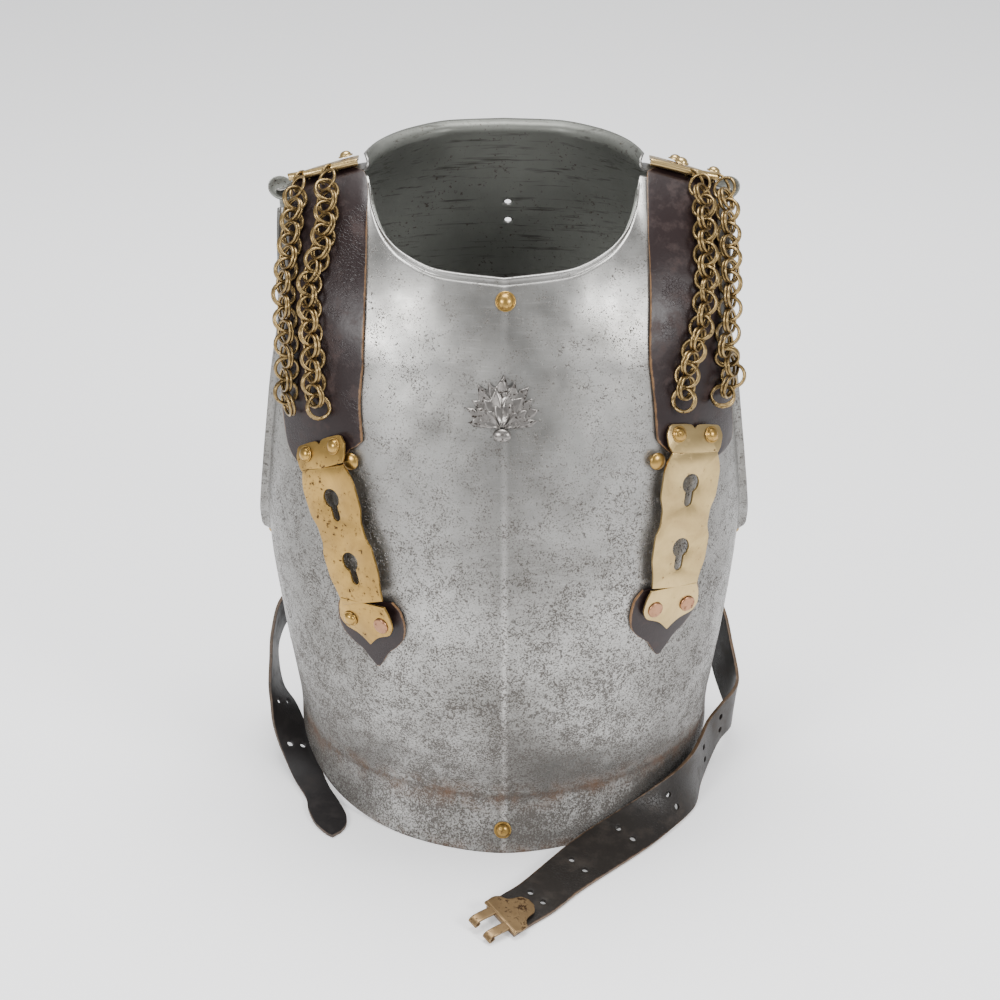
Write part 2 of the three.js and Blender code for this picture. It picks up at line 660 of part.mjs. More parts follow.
function onPanel(frame, across, down, out) {
  return frame.origin.clone().addScaledVector(frame.across, across)
    .addScaledVector(frame.down, down).addScaledVector(frame.out, out);
}

// The leather tongue below each end plate follows the chest.
function tongueLeather(plate) {
  const [x0, z0] = plate.bottom;
  const [x1, z1] = plate.tip;
  const cells = 4;
  const face = (lift) => TONGUE.map((row) => range(cells + 1).map((i) => {
    const across = lerp(-row.half, row.half, i / cells);
    const f = row.down / 54;
    const slope = (x1 - x0) / (z1 - z0);
    const spread = across * Math.cos(rad(plate.heading)) * 1.02;
    return onChest(lerp(x0, x1, f) + spread, lerp(z0, z1, f) - spread * slope, lift);
  }));
  return slab(face(0.8 + 2.2), face(0.8));
}

// ---- Chains: one tube along each strand ---------------------------------------------------------
// start: share across the backplate's shoulder, where the strand hangs from the bead.
// path: x and z down the breastplate, and any extra height over the leather.
const CHAINS = {
  chain_right_outer: {
    start: -0.89,
    path: [
      [-142, 467, 3.6], [-144, 457, 2], [-146.5, 435], [-149, 420], [-146.5, 393], [-146, 372],
      [-147, 350], [-143.5, 338],
    ],
  },
  chain_right_inner: {
    start: -0.78,
    path: [
      [-121, 474, 3.6], [-120.5, 464, 1.8], [-124, 445], [-130.5, 428], [-131, 412], [-128, 380],
      [-127, 357], [-122, 343],
    ],
  },
  chain_left_inner: {
    start: 0.84,
    path: [
      [135, 467, 3.6], [136, 456, 1.8], [136.5, 440], [136.5, 424], [132.5, 399], [124, 377],
      [121.5, 361], [119.5, 349],
    ],
  },
  chain_left_outer: {
    start: 0.955,
    path: [
      [153, 460, 3.2], [153.5, 447, 1.2], [153.5, 424], [151.5, 396], [149, 379], [155, 360],
      [146, 346],
    ],
  },
};

function chainTube({ start, path }) {
  const hook = shoulderEdge(start, SHOULDER_PLATE.beadLift + 2, SHOULDER_PLATE.reach + 9.5);
  const points = [hook, ...path.map(([x, z, extra = 0]) => onChest(x, z, CHAIN.lift + extra))];
  return tube(points, CHAIN.radius, CHAIN.sides, CHAIN.steps);
}

// ---- Waist belts -------------------------------------------------------------------------------
// Stations along each belt: its upper and lower edges where it leaves the backplate.
const LEFT_BELT = [
  { high: [112.6, 88.6, 129], low: [108.5, 85.1, 95] },
  { high: [138.8, 71.2, 129], low: [134.4, 68.3, 95] },
  { high: [159, 59, 117], low: [153, 71, 84] },
  { high: [175, 45, 99], low: [164, 60, 62] },
  { high: [182, 28, 74], low: [171, 40, 38] },
  { high: [186, 12, 55], low: [179, 16, 21] },
  { high: [182, -4, 52], low: [180, -5, 19] },
  { high: [171, -20, 49], low: [170, -21, 16] },
  { high: [160, -33, 42], low: [163, -34, 10] },
  { high: [153, -50, 38], low: [157, -47, 4] },
  { high: [145, -70, 36], low: [152, -62, 0.6] },
  { high: [134, -86, 33], low: [147, -88, 0.6] },
  { high: [122, -98, 30], low: [140, -103, 0.6] },
  { high: [99, -112, 20], low: [126, -124, 0.6] },
  { high: [80, -125, 14], low: [110, -144, 0.6] },
  { high: [62, -139, 10], low: [91, -164, 0.6] },
  { high: [45, -157, 8], low: [72, -183, 0.6] },
  { high: [27, -180, 7], low: [54, -202, 0.6] },
  { high: [11, -201, 7], low: [36, -224, 0.6] },
  { high: [-3, -215, 7], low: [19, -240, 0.6] },
  { high: [-13, -226, 7], low: [7, -252, 0.6] },
];
const RIGHT_BELT = [
  { high: [-114, 91.6, 127], low: [-110, 88.2, 95] },
  { high: [-141.1, 73.8, 127], low: [-136.6, 70.9, 95] },
  { high: [-160, 58, 118], low: [-156, 72, 88] },
  { high: [-180, 45, 107], low: [-176, 62, 80] },
  { high: [-187, 28, 86], low: [-185, 52, 64] },
  { high: [-188, 14, 68], low: [-185, 39, 51] },
  { high: [-188, 0, 54], low: [-180, 24, 37] },
  { high: [-186, -12, 43], low: [-169, 10, 28] },
  { high: [-184, -22, 31], low: [-159, -8, 16] },
  { high: [-178, -35, 18], low: [-151, -29, 10] },
  { high: [-166, -57, 4], low: [-143, -54, 8] },
  { high: [-154, -82, 0.6], low: [-136, -73, 4] },
  { high: [-151, -98, 0.6], low: [-129, -87, 2] },
  { high: [-145, -115, 0.6], low: [-121.5, -105, 0.8] },
  { high: [-136, -128, 0.6], low: [-120.5, -118, 0.6] },
  { high: [-130, -133, 0.6], low: [-124, -127, 0.6] },
];
const LEFT_HOLES = [5.5, 7.1, 9, 12.2, 14.2, 16.2, 18];
const RIGHT_HOLES = [6.9, 8.9];

function beltFrame(stations, at) {
  const curve = (key) => {
    return new THREE.CatmullRomCurve3(stations.map((row) => vec(...row[key])), false, 'centripetal');
  };
  const last = stations.length - 1;
  const rail = (value) => {
    const share = THREE.MathUtils.clamp(value / last, 0, 1);
    return [curve('low').getPoint(share), curve('high').getPoint(share)];
  };
  const mid = ([low, high]) => low.clone().lerp(high, 0.5);
  const [low, high] = rail(at);
  const along = mid(rail(at + 0.02)).sub(mid(rail(at - 0.02))).normalize();
  const across = high.clone().sub(low).normalize();
  return { low, high, along, across, out: across.clone().cross(along).normalize() };
}

// The belt's thickness grows to the side that faces up where it lies on the ground.
function beltUp(stations) {
  return Math.sign(beltFrame(stations, stations.length - 3).out.z);
}

function belt(stations, samples) {
  const last = stations.length - 1;
  const cells = 2;
  const up = beltUp(stations);
  const face = (offset) => range(samples + 1).map((k) => {
    const { low, high, out } = beltFrame(stations, (k / samples) * last);
    return range(cells + 1).map((i) => low.clone().lerp(high, i / cells).addScaledVector(out, up * offset));
  });
  const above = (grid, z) => grid.map((row) => row.map((p) => p.setZ(Math.max(z, p.z))));
  return slab(above(face(BELT_THICK), 0), above(face(0), 0.3));
}

function beltHoles(stations, places) {
  return places.flatMap((at) => [-0.18, 0.18].map((share) => {
    const { low, high, out } = beltFrame(stations, at);
    const drill = new THREE.CylinderGeometry(2.4, 2.4, 14, 4);
    drill.rotateX(Math.PI / 2);
    return standOn(drill, low.lerp(high, 0.5 + share), out);
  }));
}

// The brass clasp on the left belt's end: a plate, a bent ridge and two curled hooks.
const CLASP = { thick: 1.7, lift: BELT_THICK + GAP, halfWidth: 18.5, prong: 7.4, prongAt: 8.6 };
const CLASP_OUTLINE = [
  { back: 0, half: 17.5 }, { back: 6, half: 18.5 }, { back: 11, half: 17 }, { back: 14, half: 12 },
  { back: 18, half: 10 }, { back: 24, half: 8.5 }, { back: 28, half: 3 },
];
const CLASP_HOOK = [
  [-4, 0.6], [0, 0.9], [7, 0.7], [12.5, 0.4], [16, -0.3], [17.8, -1.5], [17, -2.7], [15, -3], [13, -2.4],
];

function beltClasp() {
  const { low, high, across, out } = beltFrame(LEFT_BELT, LEFT_BELT.length - 1);
  const along = out.clone().cross(across).normalize().negate();
  const ahead = along.y < 0 ? along : along.negate();
  const origin = low.clone().lerp(high, 0.5).addScaledVector(out, CLASP.lift);
  const place = (a, b, c) => {
    return origin.clone().addScaledVector(across, a).addScaledVector(ahead, b).addScaledVector(out, c);
  };
  const plate = (height) => CLASP_OUTLINE.map((row) => range(5).map((i) => {
    return place(lerp(-row.half, row.half, i / 4), -row.back, height);
  }));
  const hook = (centre, height) => CLASP_HOOK.map(([b, c], i) => {
    const before = CLASP_HOOK[Math.max(0, i - 1)];
    const after = CLASP_HOOK[Math.min(CLASP_HOOK.length - 1, i + 1)];
    const slope = new THREE.Vector2(after[0] - before[0], after[1] - before[1]).normalize();
    return [-0.5, 0.5].map((share) => {
      return place(centre + share * CLASP.prong, b - slope.y * height, c + slope.x * height);
    });
  });
  const ridge = new THREE.CylinderGeometry(1.5, 1.5, 2 * CLASP.halfWidth, 8);
  ridge.rotateX(Math.PI / 2);
  return join(
    slab(plate(CLASP.thick), plate(0)),
    standOn(ridge, place(0, 0, 1.5), across),
    ...[-CLASP.prongAt, CLASP.prongAt].map((at) => slab(hook(at, CLASP.thick), hook(at, 0))),
  );
}

// A thin leather strip down each side edge of the backplate, with three rivets.
const SIDE_STRIP = { inner: 0.945, outer: 1, thick: 1.8, heights: [62, 80, 100, 120, 145, 170, 190] };
const SIDE_RIVETS = [190, 140, 92];

function sideStrip(side) {
  const { inner, outer, thick, heights } = SIDE_STRIP;
  const row = (z, lift) => [inner, outer].map((s) => raised(BACK, side * s, atHeight(z), lift));
  const face = (lift) => heights.map((z) => row(z, lift));
  return slab(face(0.6 + thick), face(0.6));
}

// Four rivets hold each end plate: two through its lobes and two through the leather tongue.
function endPlateRivets(name, plate) {
  const frames = endPlateFrames(plate);
  const spots = [
    ['upper_1', frames.flap, -14.5, 13, 'dome'],
    ['upper_2', frames.flap, 14.5, 13, 'dome'],
    ['lower_1', frames.lower, -14, 16, name === 'right' ? 'dome' : 'flat'],
    ['lower_2', frames.lower, 14, 16, 'flat'],
  ];
  for (const [label, frame, across, down, kind] of spots) {
    const shape = kind === 'dome' ? domeRivet(6, 3.8) : flatRivet(6, 1.4);
    const point = onPanel(frame, across, down, BRASS + GAP);
    add(`rivet_${name}_${label}`, standOn(shape, point, frame.out), kind === 'dome' ? BRASS_LOOK : COPPER);
  }
}

// ---- Assembly ----------------------------------------------------------------------------------
const group = new THREE.Group();

function add(name, geometry, look) {
  const material = new THREE.MeshStandardMaterial({
    color: look.colour,
    roughness: look.roughness,
    metalness: look.metalness,
  });
  const mesh = new THREE.Mesh(geometry, material);
  mesh.name = name;
  group.add(mesh);
}

function earDisc(side) {
  const cup = lathe([[0, -2.6], [6, -1.8], [9.8, 0.6], [9.8, 1.7], [6, -0.5], [0, -1.3]], 14);
  return standOn(cup, vec(side * 160, 8, 469), vec(side * -0.3, -0.6, 0.75));
}

function backplate() {
  const shell = plateSolid(BACK);
  const drills = [424, 407].map((z) => {
    return new THREE.CylinderGeometry(2.5, 2.5, 60, 10).translate(4, 110, z);
  });
  return cut(join(shell, earDisc(-1), earDisc(1)), ...drills);
}

function onBackplate(s, v, lift) {
  return [raised(BACK, s, v, lift), plateNormal(BACK, s, v)];
}

// Rivets on the breastplate's middle line: name, x, z, radius, extra height over the curve.
const MIDDLE_RIVETS = [['neck_rivet', 1, 427, 7.2, 0.25], ['waist_rivet', -1, 17, 6.6, 0.6]];

// Shoulder plate rivets: share across, share up, on the plates named.
const SHOULDER_RIVETS = {
  shoulder_rivet_right_1: [-0.73, 2.9],
  shoulder_rivet_left_1: [0.775, 2.88],
  shoulder_rivet_left_2: [0.795, 2.955],
  shoulder_rivet_left_3: [0.93, 2.955],
};

add('breastplate', plateSolid(BREAST), STEEL);
add('backplate', backplate(), STEEL);
add('grenade_badge', grenadeBadge(), STEEL);
for (const [name, x, z, radius, lift] of MIDDLE_RIVETS) {
  add(name, standOn(domeRivet(radius, 4.6), onChest(x, z, GAP + lift), chestNormal(x, z)), BRASS_LOOK);
}

const STUD = { x: 105.5, z: 314.5 };
const SIDES = [['right', -1], ['left', 1]];
for (const [name, side] of SIDES) {
  const studSpot = onChest(side * STUD.x, STUD.z, GAP);
  add(`shoulder_leather_${name}`, shoulderLeather(name, side), LEATHER);
  add(`shoulder_plate_${name}`, shoulderPlate(side), BRASS_LOOK);
  add(`stud_${name}`, standOn(buttonStud(), studSpot, chestNormal(side * STUD.x, STUD.z)), BRASS_LOOK);
  add(`side_strip_${name}`, sideStrip(side), DARK_LEATHER);
  SIDE_RIVETS.forEach((z, i) => {
    const [point, normal] = onBackplate(side * 0.972, atHeight(z), 0.6 + SIDE_STRIP.thick + GAP);
    add(`side_rivet_${name}_${i + 1}`, standOn(domeRivet(4.2, 3), point, normal), BRASS_LOOK);
  });
}
for (const [name, [s, v]] of Object.entries(SHOULDER_RIVETS)) {
  const lift = tableValue([...SHOULDER_ROWS_BACK].reverse(), 'v', 'brass', v) + SHOULDER_PLATE.thick + 1.3;
  const [point, normal] = onBackplate(s, v, lift);
  add(name, standOn(domeRivet(5.4, 4), point, normal), BRASS_LOOK);
}
for (const [name, strand] of Object.entries(CHAINS)) {
  add(name, chainTube(strand), BRASS_LOOK);
}
for (const [name, plate] of Object.entries(END_PLATES)) {
  add(`end_plate_${name}`, endPlate(plate), BRASS_LOOK);
  add(`tongue_leather_${name}`, tongueLeather(plate), LEATHER);
  endPlateRivets(name, plate);
}
add('waist_belt_left', cut(belt(LEFT_BELT, 32), ...beltHoles(LEFT_BELT, LEFT_HOLES)), DARK_LEATHER);
add('waist_belt_right', cut(belt(RIGHT_BELT, 26), ...beltHoles(RIGHT_BELT, RIGHT_HOLES)), DARK_LEATHER);
add('belt_clasp', beltClasp(), BRASS_LOOK);

// The origin is the centre of the whole object's box, on the ground.
const box = new THREE.Box3().setFromObject(group);
group.position.set(-(box.min.x + box.max.x) / 2, -(box.min.y + box.max.y) / 2, -box.min.z);
group.updateMatrixWorld(true);

export default group;
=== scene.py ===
# %% [markdown]
# # A heavy cavalry cuirass
# Two steel plates meet at the wearer's sides. Leather straps with brass ring chains come over the
# shoulders and end in brass plates with keyholes, which would hook on the chest studs.
# Two leather waist belts leave the backplate and lie on the ground.
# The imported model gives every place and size. This lesson dresses it, one piece per cell.

import math
import random

import bmesh
import bpy
from mathutils import Matrix, Vector, noise


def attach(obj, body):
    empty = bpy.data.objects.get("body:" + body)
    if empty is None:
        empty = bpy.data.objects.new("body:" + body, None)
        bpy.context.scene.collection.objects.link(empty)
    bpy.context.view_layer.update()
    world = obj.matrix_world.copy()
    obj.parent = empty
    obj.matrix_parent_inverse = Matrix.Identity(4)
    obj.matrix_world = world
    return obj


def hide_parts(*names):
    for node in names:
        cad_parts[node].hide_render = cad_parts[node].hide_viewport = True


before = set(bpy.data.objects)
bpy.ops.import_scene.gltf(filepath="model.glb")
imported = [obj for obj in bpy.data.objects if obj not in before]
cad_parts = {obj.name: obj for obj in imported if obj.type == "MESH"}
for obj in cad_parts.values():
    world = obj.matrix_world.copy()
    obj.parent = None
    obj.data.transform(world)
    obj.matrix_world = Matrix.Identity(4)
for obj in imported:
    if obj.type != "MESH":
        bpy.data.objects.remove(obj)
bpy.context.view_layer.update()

# %% [markdown]
# ## Camera, light and floor
# A long lens from a little above keeps the plates' upright lines nearly parallel. Steel shows
# mostly what it reflects, so two large soft lamps stand at the sides and one hangs overhead.

# %% Camera, light and floor
MM = 0.001
AIM = Vector((-0.2, 68.9, 220.1)) * MM
DISTANCE = 1.8
LOOK_DOWN = math.radians(28)

camera = bpy.data.objects.new("camera", bpy.data.cameras.new("camera"))
camera.data.lens = 84.76
camera.data.sensor_width = 36
camera.data.shift_x = -0.004
camera.location = AIM + DISTANCE * Vector((0, -math.cos(LOOK_DOWN), math.sin(LOOK_DOWN)))
camera.rotation_euler = (math.pi / 2 - LOOK_DOWN, 0, 0)
bpy.context.collection.objects.link(camera)
bpy.context.scene.camera = camera


def lamp(name, place, size, power):
    """A square area lamp that faces the middle of the object."""
    light = bpy.data.lights.new(name, "AREA")
    light.size = size
    light.energy = power
    holder = bpy.data.objects.new(name, light)
    holder.location = place
    holder.rotation_euler = (AIM - Vector(place)).to_track_quat("-Z", "Y").to_euler()
    bpy.context.collection.objects.link(holder)


lamp("left lamp", (-1.3, -1.5, 1.3), 0.6, 34)
lamp("right lamp", (1.4, -1.3, 1.3), 0.6, 30)
lamp("top lamp", (0, 0.4, 2.2), 1.2, 62)

world = bpy.data.worlds.new("studio")
bpy.context.scene.world = world
world.use_nodes = True
world.node_tree.nodes["Background"].inputs["Color"].default_value = (0.97, 0.98, 1.0, 1)
world.node_tree.nodes["Background"].inputs["Strength"].default_value = 0.55

floor_mesh = bmesh.new()
bmesh.ops.create_grid(floor_mesh, x_segments=1, y_segments=1, size=6)
floor_data = bpy.data.meshes.new("floor")
floor_mesh.to_mesh(floor_data)
floor = bpy.data.objects.new("floor", floor_data)
bpy.context.collection.objects.link(floor)
print("camera at", [round(value, 3) for value in camera.location])

# %% [markdown]
# ## The plates' curved surface
# Each plate is described by a few level sections and by its top edge. A small table holds the
# stations, and a smooth curve through them gives every value between.

# %% Tables and curves
def table(names, *rows):
    """A table with named columns, in the order of its first column."""
    return {name: [row[i] for row in rows] for i, name in enumerate(names.split())}


def slope_at(xs, ys, i):
    """A slope through station i that never overshoots its neighbours."""
    last = len(xs) - 1
    if i <= 0:
        return (ys[1] - ys[0]) / (xs[1] - xs[0])
    if i >= last:
        return (ys[last] - ys[last - 1]) / (xs[last] - xs[last - 1])
    before = (ys[i] - ys[i - 1]) / (xs[i] - xs[i - 1])
    after = (ys[i + 1] - ys[i]) / (xs[i + 1] - xs[i])
    return 0 if before * after <= 0 else 2 * before * after / (before + after)


def read(rows, at, key, value):
    """The smooth value of column key where column at has this value."""
    xs, ys = rows[at], rows[key]
    if value <= xs[0]:
        return ys[0]
    if value >= xs[-1]:
        return ys[-1]
    i = 0
    while value > xs[i + 1]:
        i += 1
    step = xs[i + 1] - xs[i]
    f = (value - xs[i]) / step
    start = slope_at(xs, ys, i) * step
    end = slope_at(xs, ys, i + 1) * step
    rise = ys[i + 1] - ys[i]
    return ys[i] + f * start + f * f * (3 * rise - 2 * start - end) + f**3 * (start + end - 2 * rise)


def blend(a, b, f):
    return a + (b - a) * f


def clamp(value, low=0.0, high=1.0):
    return max(low, min(high, value))


# %% The two plates' stations, in millimetres
CREASE_Z, BLEND_Z, CORNER_Z = 45, 380, 37
RIDGE_HALF_WIDTH = 60
BREAST = {
    "side": -1, "wall": 2.4, "ridge": 4,
    "sections": table(
        "z half depth power",
        (0, 167, 151.5, 1.75), (20, 162, 144, 1.8), (45, 160.5, 138.5, 1.9), (65, 161.5, 143, 2.0),
        (90, 164.5, 151, 2.05), (140, 171, 159, 2.1), (205, 178, 161, 2.1), (270, 179.5, 152, 2.1),
        (335, 180, 136.5, 2.1), (380, 180.5, 120, 2.1),
    ),
    "arm": table(
        "z y",
        (0, 6), (192, 6), (201, 9.5), (212, 15), (230, 28), (255, 41), (280, 50), (330, 59), (380, 62),
    ),
    "top": table(
        "s x y z lean",
        (0, 0, 90, 441, 34), (0.22, 44, 85, 445, 36), (0.38, 72, 69, 453, 44),
        (0.48, 87, 49, 464, 52), (0.57, 93.5, 29, 475, 60), (0.67, 96.5, 10, 486, 66),
        (0.83, 127, 11, 477, 62), (1, 156, 14, 464, 52),
    ),
    "flange": table(
        "z width turn",
        (0, 5.5, 0), (193, 5.5, 0), (201, 11, 56), (250, 8.5, 62), (330, 6.5, 68), (400, 5, 70),
        (470, 4, 60),
    ),
    "rim": {"to": 0.62, "width": 0, "turn": 0, "end": 0},
}
BACK = {
    "side": 1, "wall": 1.8, "ridge": 0,
    "sections": table(
        "z half depth power",
        (0, 167, 112, 1.85), (20, 162, 106, 1.9), (45, 160.5, 101, 2.0), (65, 161.5, 101, 2.05),
        (90, 164.5, 104, 2.1), (140, 171, 110, 2.15), (205, 178, 118, 2.15), (280, 179.5, 123, 2.15),
        (335, 180, 122, 2.1), (380, 179, 117, 2.1),
    ),
    "arm": table(
        "z y",
        (0, 6), (192, 6), (201, 9), (212, 13), (230, 24), (255, 36), (280, 45), (330, 54), (380, 53),
    ),
    "top": table(
        "s x y z lean",
        (0, 0, 85, 486, 20), (0.2, 38, 80, 486, 24), (0.35, 67, 62, 486, 36), (0.48, 87, 36, 486, 60),
        (0.58, 95.5, 14, 487, 82), (0.65, 99, 1.5, 487, 92), (0.83, 131, 2, 479, 92), (1, 159, 6, 470, 80),
    ),
    "flange": table(
        "z width turn",
        (0, 5.5, 0), (194, 5.5, 0), (204, 9, 60), (250, 8, 70), (330, 6, 70), (400, 4.5, 70),
        (470, 4, 30),
    ),
    "rim": {"to": 0.6, "width": 11, "turn": 96, "end": 2},
}
print("skirt crease at", CREASE_Z, "mm")


# %% Points on the plates
def section_point(plate, s, z):
    """A point on a level section: s runs from -1 to 1 across the plate."""
    half, depth, power = (read(plate["sections"], "z", key, z) for key in ("half", "depth", "power"))
    edge = read(plate["arm"], "z", "y", z)
    widest = math.acos((edge / depth) ** (power / 2))
    angle = abs(s) * widest
    x = math.copysign(half * math.sin(angle) ** (2 / power), s)
    crest = clamp((z - 20) / 60) * plate["ridge"] * max(0, 1 - abs(x) / RIDGE_HALF_WIDTH) ** 2
    return Vector((x, plate["side"] * (depth * math.cos(angle) ** (2 / power) + crest), z))


def plate_point(plate, s, v):
    """v runs 0 to 1 up the flared skirt, 1 to 2 up the body and 2 to 3 to the top edge."""
    if v <= 1:
        rise = CORNER_Z * max(0, (abs(s) - 0.3) / 0.7) ** 2
        return section_point(plate, s, blend(rise, CREASE_Z, v))
    if v <= 2:
        return section_point(plate, s, blend(CREASE_Z, BLEND_Z, v - 1))
    start = section_point(plate, s, BLEND_Z)
    x, y, z, lean = (read(plate["top"], "s", key, abs(s)) for key in ("x", "y", "z", "lean"))
    end = Vector((math.copysign(x, s), plate["side"] * y, z))
    length = (end - start).length
    leave = (start - section_point(plate, s, BLEND_Z - 4)).normalized() * length
    lean = math.radians(lean)
    arrive = Vector((0, -plate["side"] * math.sin(lean), math.cos(lean))) * length
    u = v - 2
    near, far = 2 * u**3 - 3 * u**2 + 1, 3 * u**2 - 2 * u**3
    return start * near + leave * (u**3 - 2 * u**2 + u) + end * far + arrive * (u**3 - u**2)


def plate_normal(plate, s, v):
    step = 1e-3
    across = plate_point(plate, s + step, v) - plate_point(plate, s - step, v)
    up = plate_point(plate, s, min(3, v + step)) - plate_point(plate, s, v - step)
    return across.cross(up).normalized() * -plate["side"]


def raised(plate, s, v, lift):
    return plate_point(plate, s, v) + plate_normal(plate, s, v) * lift


def body_share(z):
    return 1 + (z - CREASE_Z) / (BLEND_Z - CREASE_Z)


CHEST_REACH = 190  # a first guess for s takes the chest as this wide to each side
NEWTON_STEPS = 14


def chest_share(x, z):
    """The s and v of the breastplate's point at this x and z, by Newton's method."""
    s, v, step = x / CHEST_REACH, body_share(z), 1e-3
    for _ in range(NEWTON_STEPS):
        here = plate_point(BREAST, s, v)
        ds = (plate_point(BREAST, s + step, v) - here) / step
        dv = (here - plate_point(BREAST, s, v - step)) / step
        det = ds.x * dv.z - ds.z * dv.x
        miss_x, miss_z = x - here.x, z - here.z
        s = clamp(s + clamp((miss_x * dv.z - miss_z * dv.x) / det, -0.1, 0.1), -1, 1)
        v = clamp(v + clamp((miss_z * ds.x - miss_x * ds.z) / det, -0.2, 0.2), 0.01, 2.999)
    return s, v


def on_chest(x, z, lift):
    return raised(BREAST, *chest_share(x, z), lift)


def chest_normal(x, z):
    return plate_normal(BREAST, *chest_share(x, z))


# The side seam's middle is this far from the middle of the whole object, in millimetres.
SEAM_MIDDLE = Vector((-0.173, 68.889, 0))


def to_frame(point):
    return (point + SEAM_MIDDLE) * MM


print("neckline", [round(value, 3) for value in to_frame(plate_point(BREAST, 0, 3))])

# %% [markdown]
# ## Tools for making pieces
# Most pieces here are sheets bent over a surface, so a flat grid is made and each of its points
# is laid where it belongs. A copy of the sheet, set behind it and joined along the edges, gives
# it a wall. The distance to the nearest cut edge is kept on each point, so that leather can show
# its raw edges.

# %% Piece tools
def grid_sheet(columns, rows, place):
    """A grid whose points are laid by place(c, r), with c and r from 0 to 1."""
    bm = bmesh.new()
    rim = bm.verts.layers.float.new("rim")
    bmesh.ops.create_grid(bm, x_segments=columns, y_segments=rows, size=0.5)
    for vert in bm.verts:
        c, r = vert.co.x + 0.5, vert.co.y + 0.5
        spot, edge = place(c, r)
        vert.co = to_frame(spot)
        vert[rim] = edge
    return bm


def thicken(bm, wall, inner_material=0):
    """Gives an open sheet a wall on the far side of its face normals."""
    bm.normal_update()
    outline = [edge for edge in bm.edges if edge.is_boundary]
    copied = bmesh.ops.duplicate(bm, geom=list(bm.faces) + list(bm.edges) + list(bm.verts))
    far = copied["vert_map"]
    near = {vert: vert.normal.copy() for edge in outline for vert in edge.verts}
    for item in copied["geom"]:
        if isinstance(item, bmesh.types.BMVert):
            normal = near.get(far[item], far[item].normal)
            item.co = far[item].co - normal * wall * MM
    inner = [item for item in copied["geom"] if isinstance(item, bmesh.types.BMFace)]
    bmesh.ops.reverse_faces(bm, faces=inner)
    for face in inner:
        face.material_index = inner_material
    for edge in outline:
        a, b = (loop.vert for loop in (edge.link_loops[0], edge.link_loops[0].link_loop_next))
        bm.faces.new((b, a, far[a], far[b]))
    bm.normal_update()


def face_along(bm, direction):
    """Turns an open sheet's faces to a direction."""
    bm.normal_update()
    if sum((face.normal.dot(direction) for face in bm.faces), 0.0) < 0:
        bmesh.ops.reverse_faces(bm, faces=list(bm.faces))


def rest_on_ground(bm):
    for vert in bm.verts:
        vert.co.z = max(0, vert.co.z)


def finish_piece(name, bm, materials, nodes, bevel=0.0, angle=35):
    """Makes the mesh an object that rides with the cuirass and stands for its CAD nodes."""
    mesh = bpy.data.meshes.new(name)
    for face in bm.faces:
        face.smooth = True
    bm.to_mesh(mesh)
    bm.free()
    piece = bpy.data.objects.new(name, mesh)
    bpy.context.collection.objects.link(piece)
    for material in materials:
        mesh.materials.append(material)
    if bevel:
        rounding = piece.modifiers.new("rounded edges", "BEVEL")
        rounding.width = bevel * MM
        rounding.segments = 2
        rounding.limit_method = "ANGLE"
        rounding.angle_limit = math.radians(angle)
    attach(piece, "root")
    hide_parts(*nodes)


def merge_into(target, part):
    """Adds one bmesh to another."""
    mesh = bpy.data.meshes.new("part")
    part.to_mesh(mesh)
    part.free()
    target.from_mesh(mesh)
    bpy.data.meshes.remove(mesh)


def stand(point, direction):
    """The matrix that stands a shape made along Z on a point, along a direction."""
    return Matrix.Translation(to_frame(point)) @ direction.to_track_quat("Z", "Y").to_matrix().to_4x4()


def spun(bm, profile, steps, matrix):
    """Spins a profile of (radius, height) in millimetres about Z, and stands it in place."""
    verts = [bm.verts.new((radius * MM, 0, height * MM)) for radius, height in profile]
    edges = [bm.edges.new(pair) for pair in zip(verts, verts[1:])]
    made = set(bm.verts) - set(verts)
    bmesh.ops.spin(
        bm, geom=verts + edges, cent=(0, 0, 0), axis=(0, 0, 1), dvec=(0, 0, 0),
        angle=math.tau, steps=steps, use_merge=True, use_duplicate=False,
    )
    new = [vert for vert in bm.verts if vert not in made]
    bmesh.ops.remove_doubles(bm, verts=new, dist=1e-6)
    new = [vert for vert in bm.verts if vert not in made]
    faces = list({face for vert in new for face in vert.link_faces})
    bmesh.ops.recalc_face_normals(bm, faces=faces)
    bmesh.ops.transform(bm, matrix=matrix, verts=new)
    return new


print("wall of the breastplate", BREAST["wall"], "mm, of the backplate", BACK["wall"], "mm")

# %% [markdown]
# ## Shared finishes
# Steel, brass and leather all carry the same kinds of mark: pits, broad stains and fine
# scratches. Each is a small node group with named inputs, built once and reused.

# %% Node helpers
def new_group(name, inputs, outputs):
    group = bpy.data.node_groups.new(name, "ShaderNodeTree")
    for label, value in inputs:
        kind = "NodeSocketVector" if label == "Vector" else "NodeSocketFloat"
        socket = group.interface.new_socket(label, in_out="INPUT", socket_type=kind)
        if kind == "NodeSocketFloat":
            socket.default_value = value
    for label in outputs:
        group.interface.new_socket(label, in_out="OUTPUT", socket_type="NodeSocketFloat")
    return group


def node(tree, kind, **settings):
    made = tree.nodes.new("ShaderNode" + kind)
    for key, value in settings.items():
        setattr(made, key, value)
    return made


def wire(tree, source, target):
    tree.links.new(source, target)


def feed(tree, value, socket):
    """Gives a socket its value: another socket, a number or a colour."""
    if hasattr(value, "is_linked"):
        wire(tree, value, socket)
    else:
        socket.default_value = (*value, 1) if isinstance(value, tuple) else value


def maths(tree, operation, a, b=None, clamped=False):
    """A Math node: a and b are sockets or numbers."""
    made = node(tree, "Math", operation=operation, use_clamp=clamped)
    feed(tree, a, made.inputs[0])
    if b is not None:
        feed(tree, b, made.inputs[1])
    return made.outputs[0]


def times(tree, a, b, clamped=False):
    return maths(tree, "MULTIPLY", a, b, clamped)


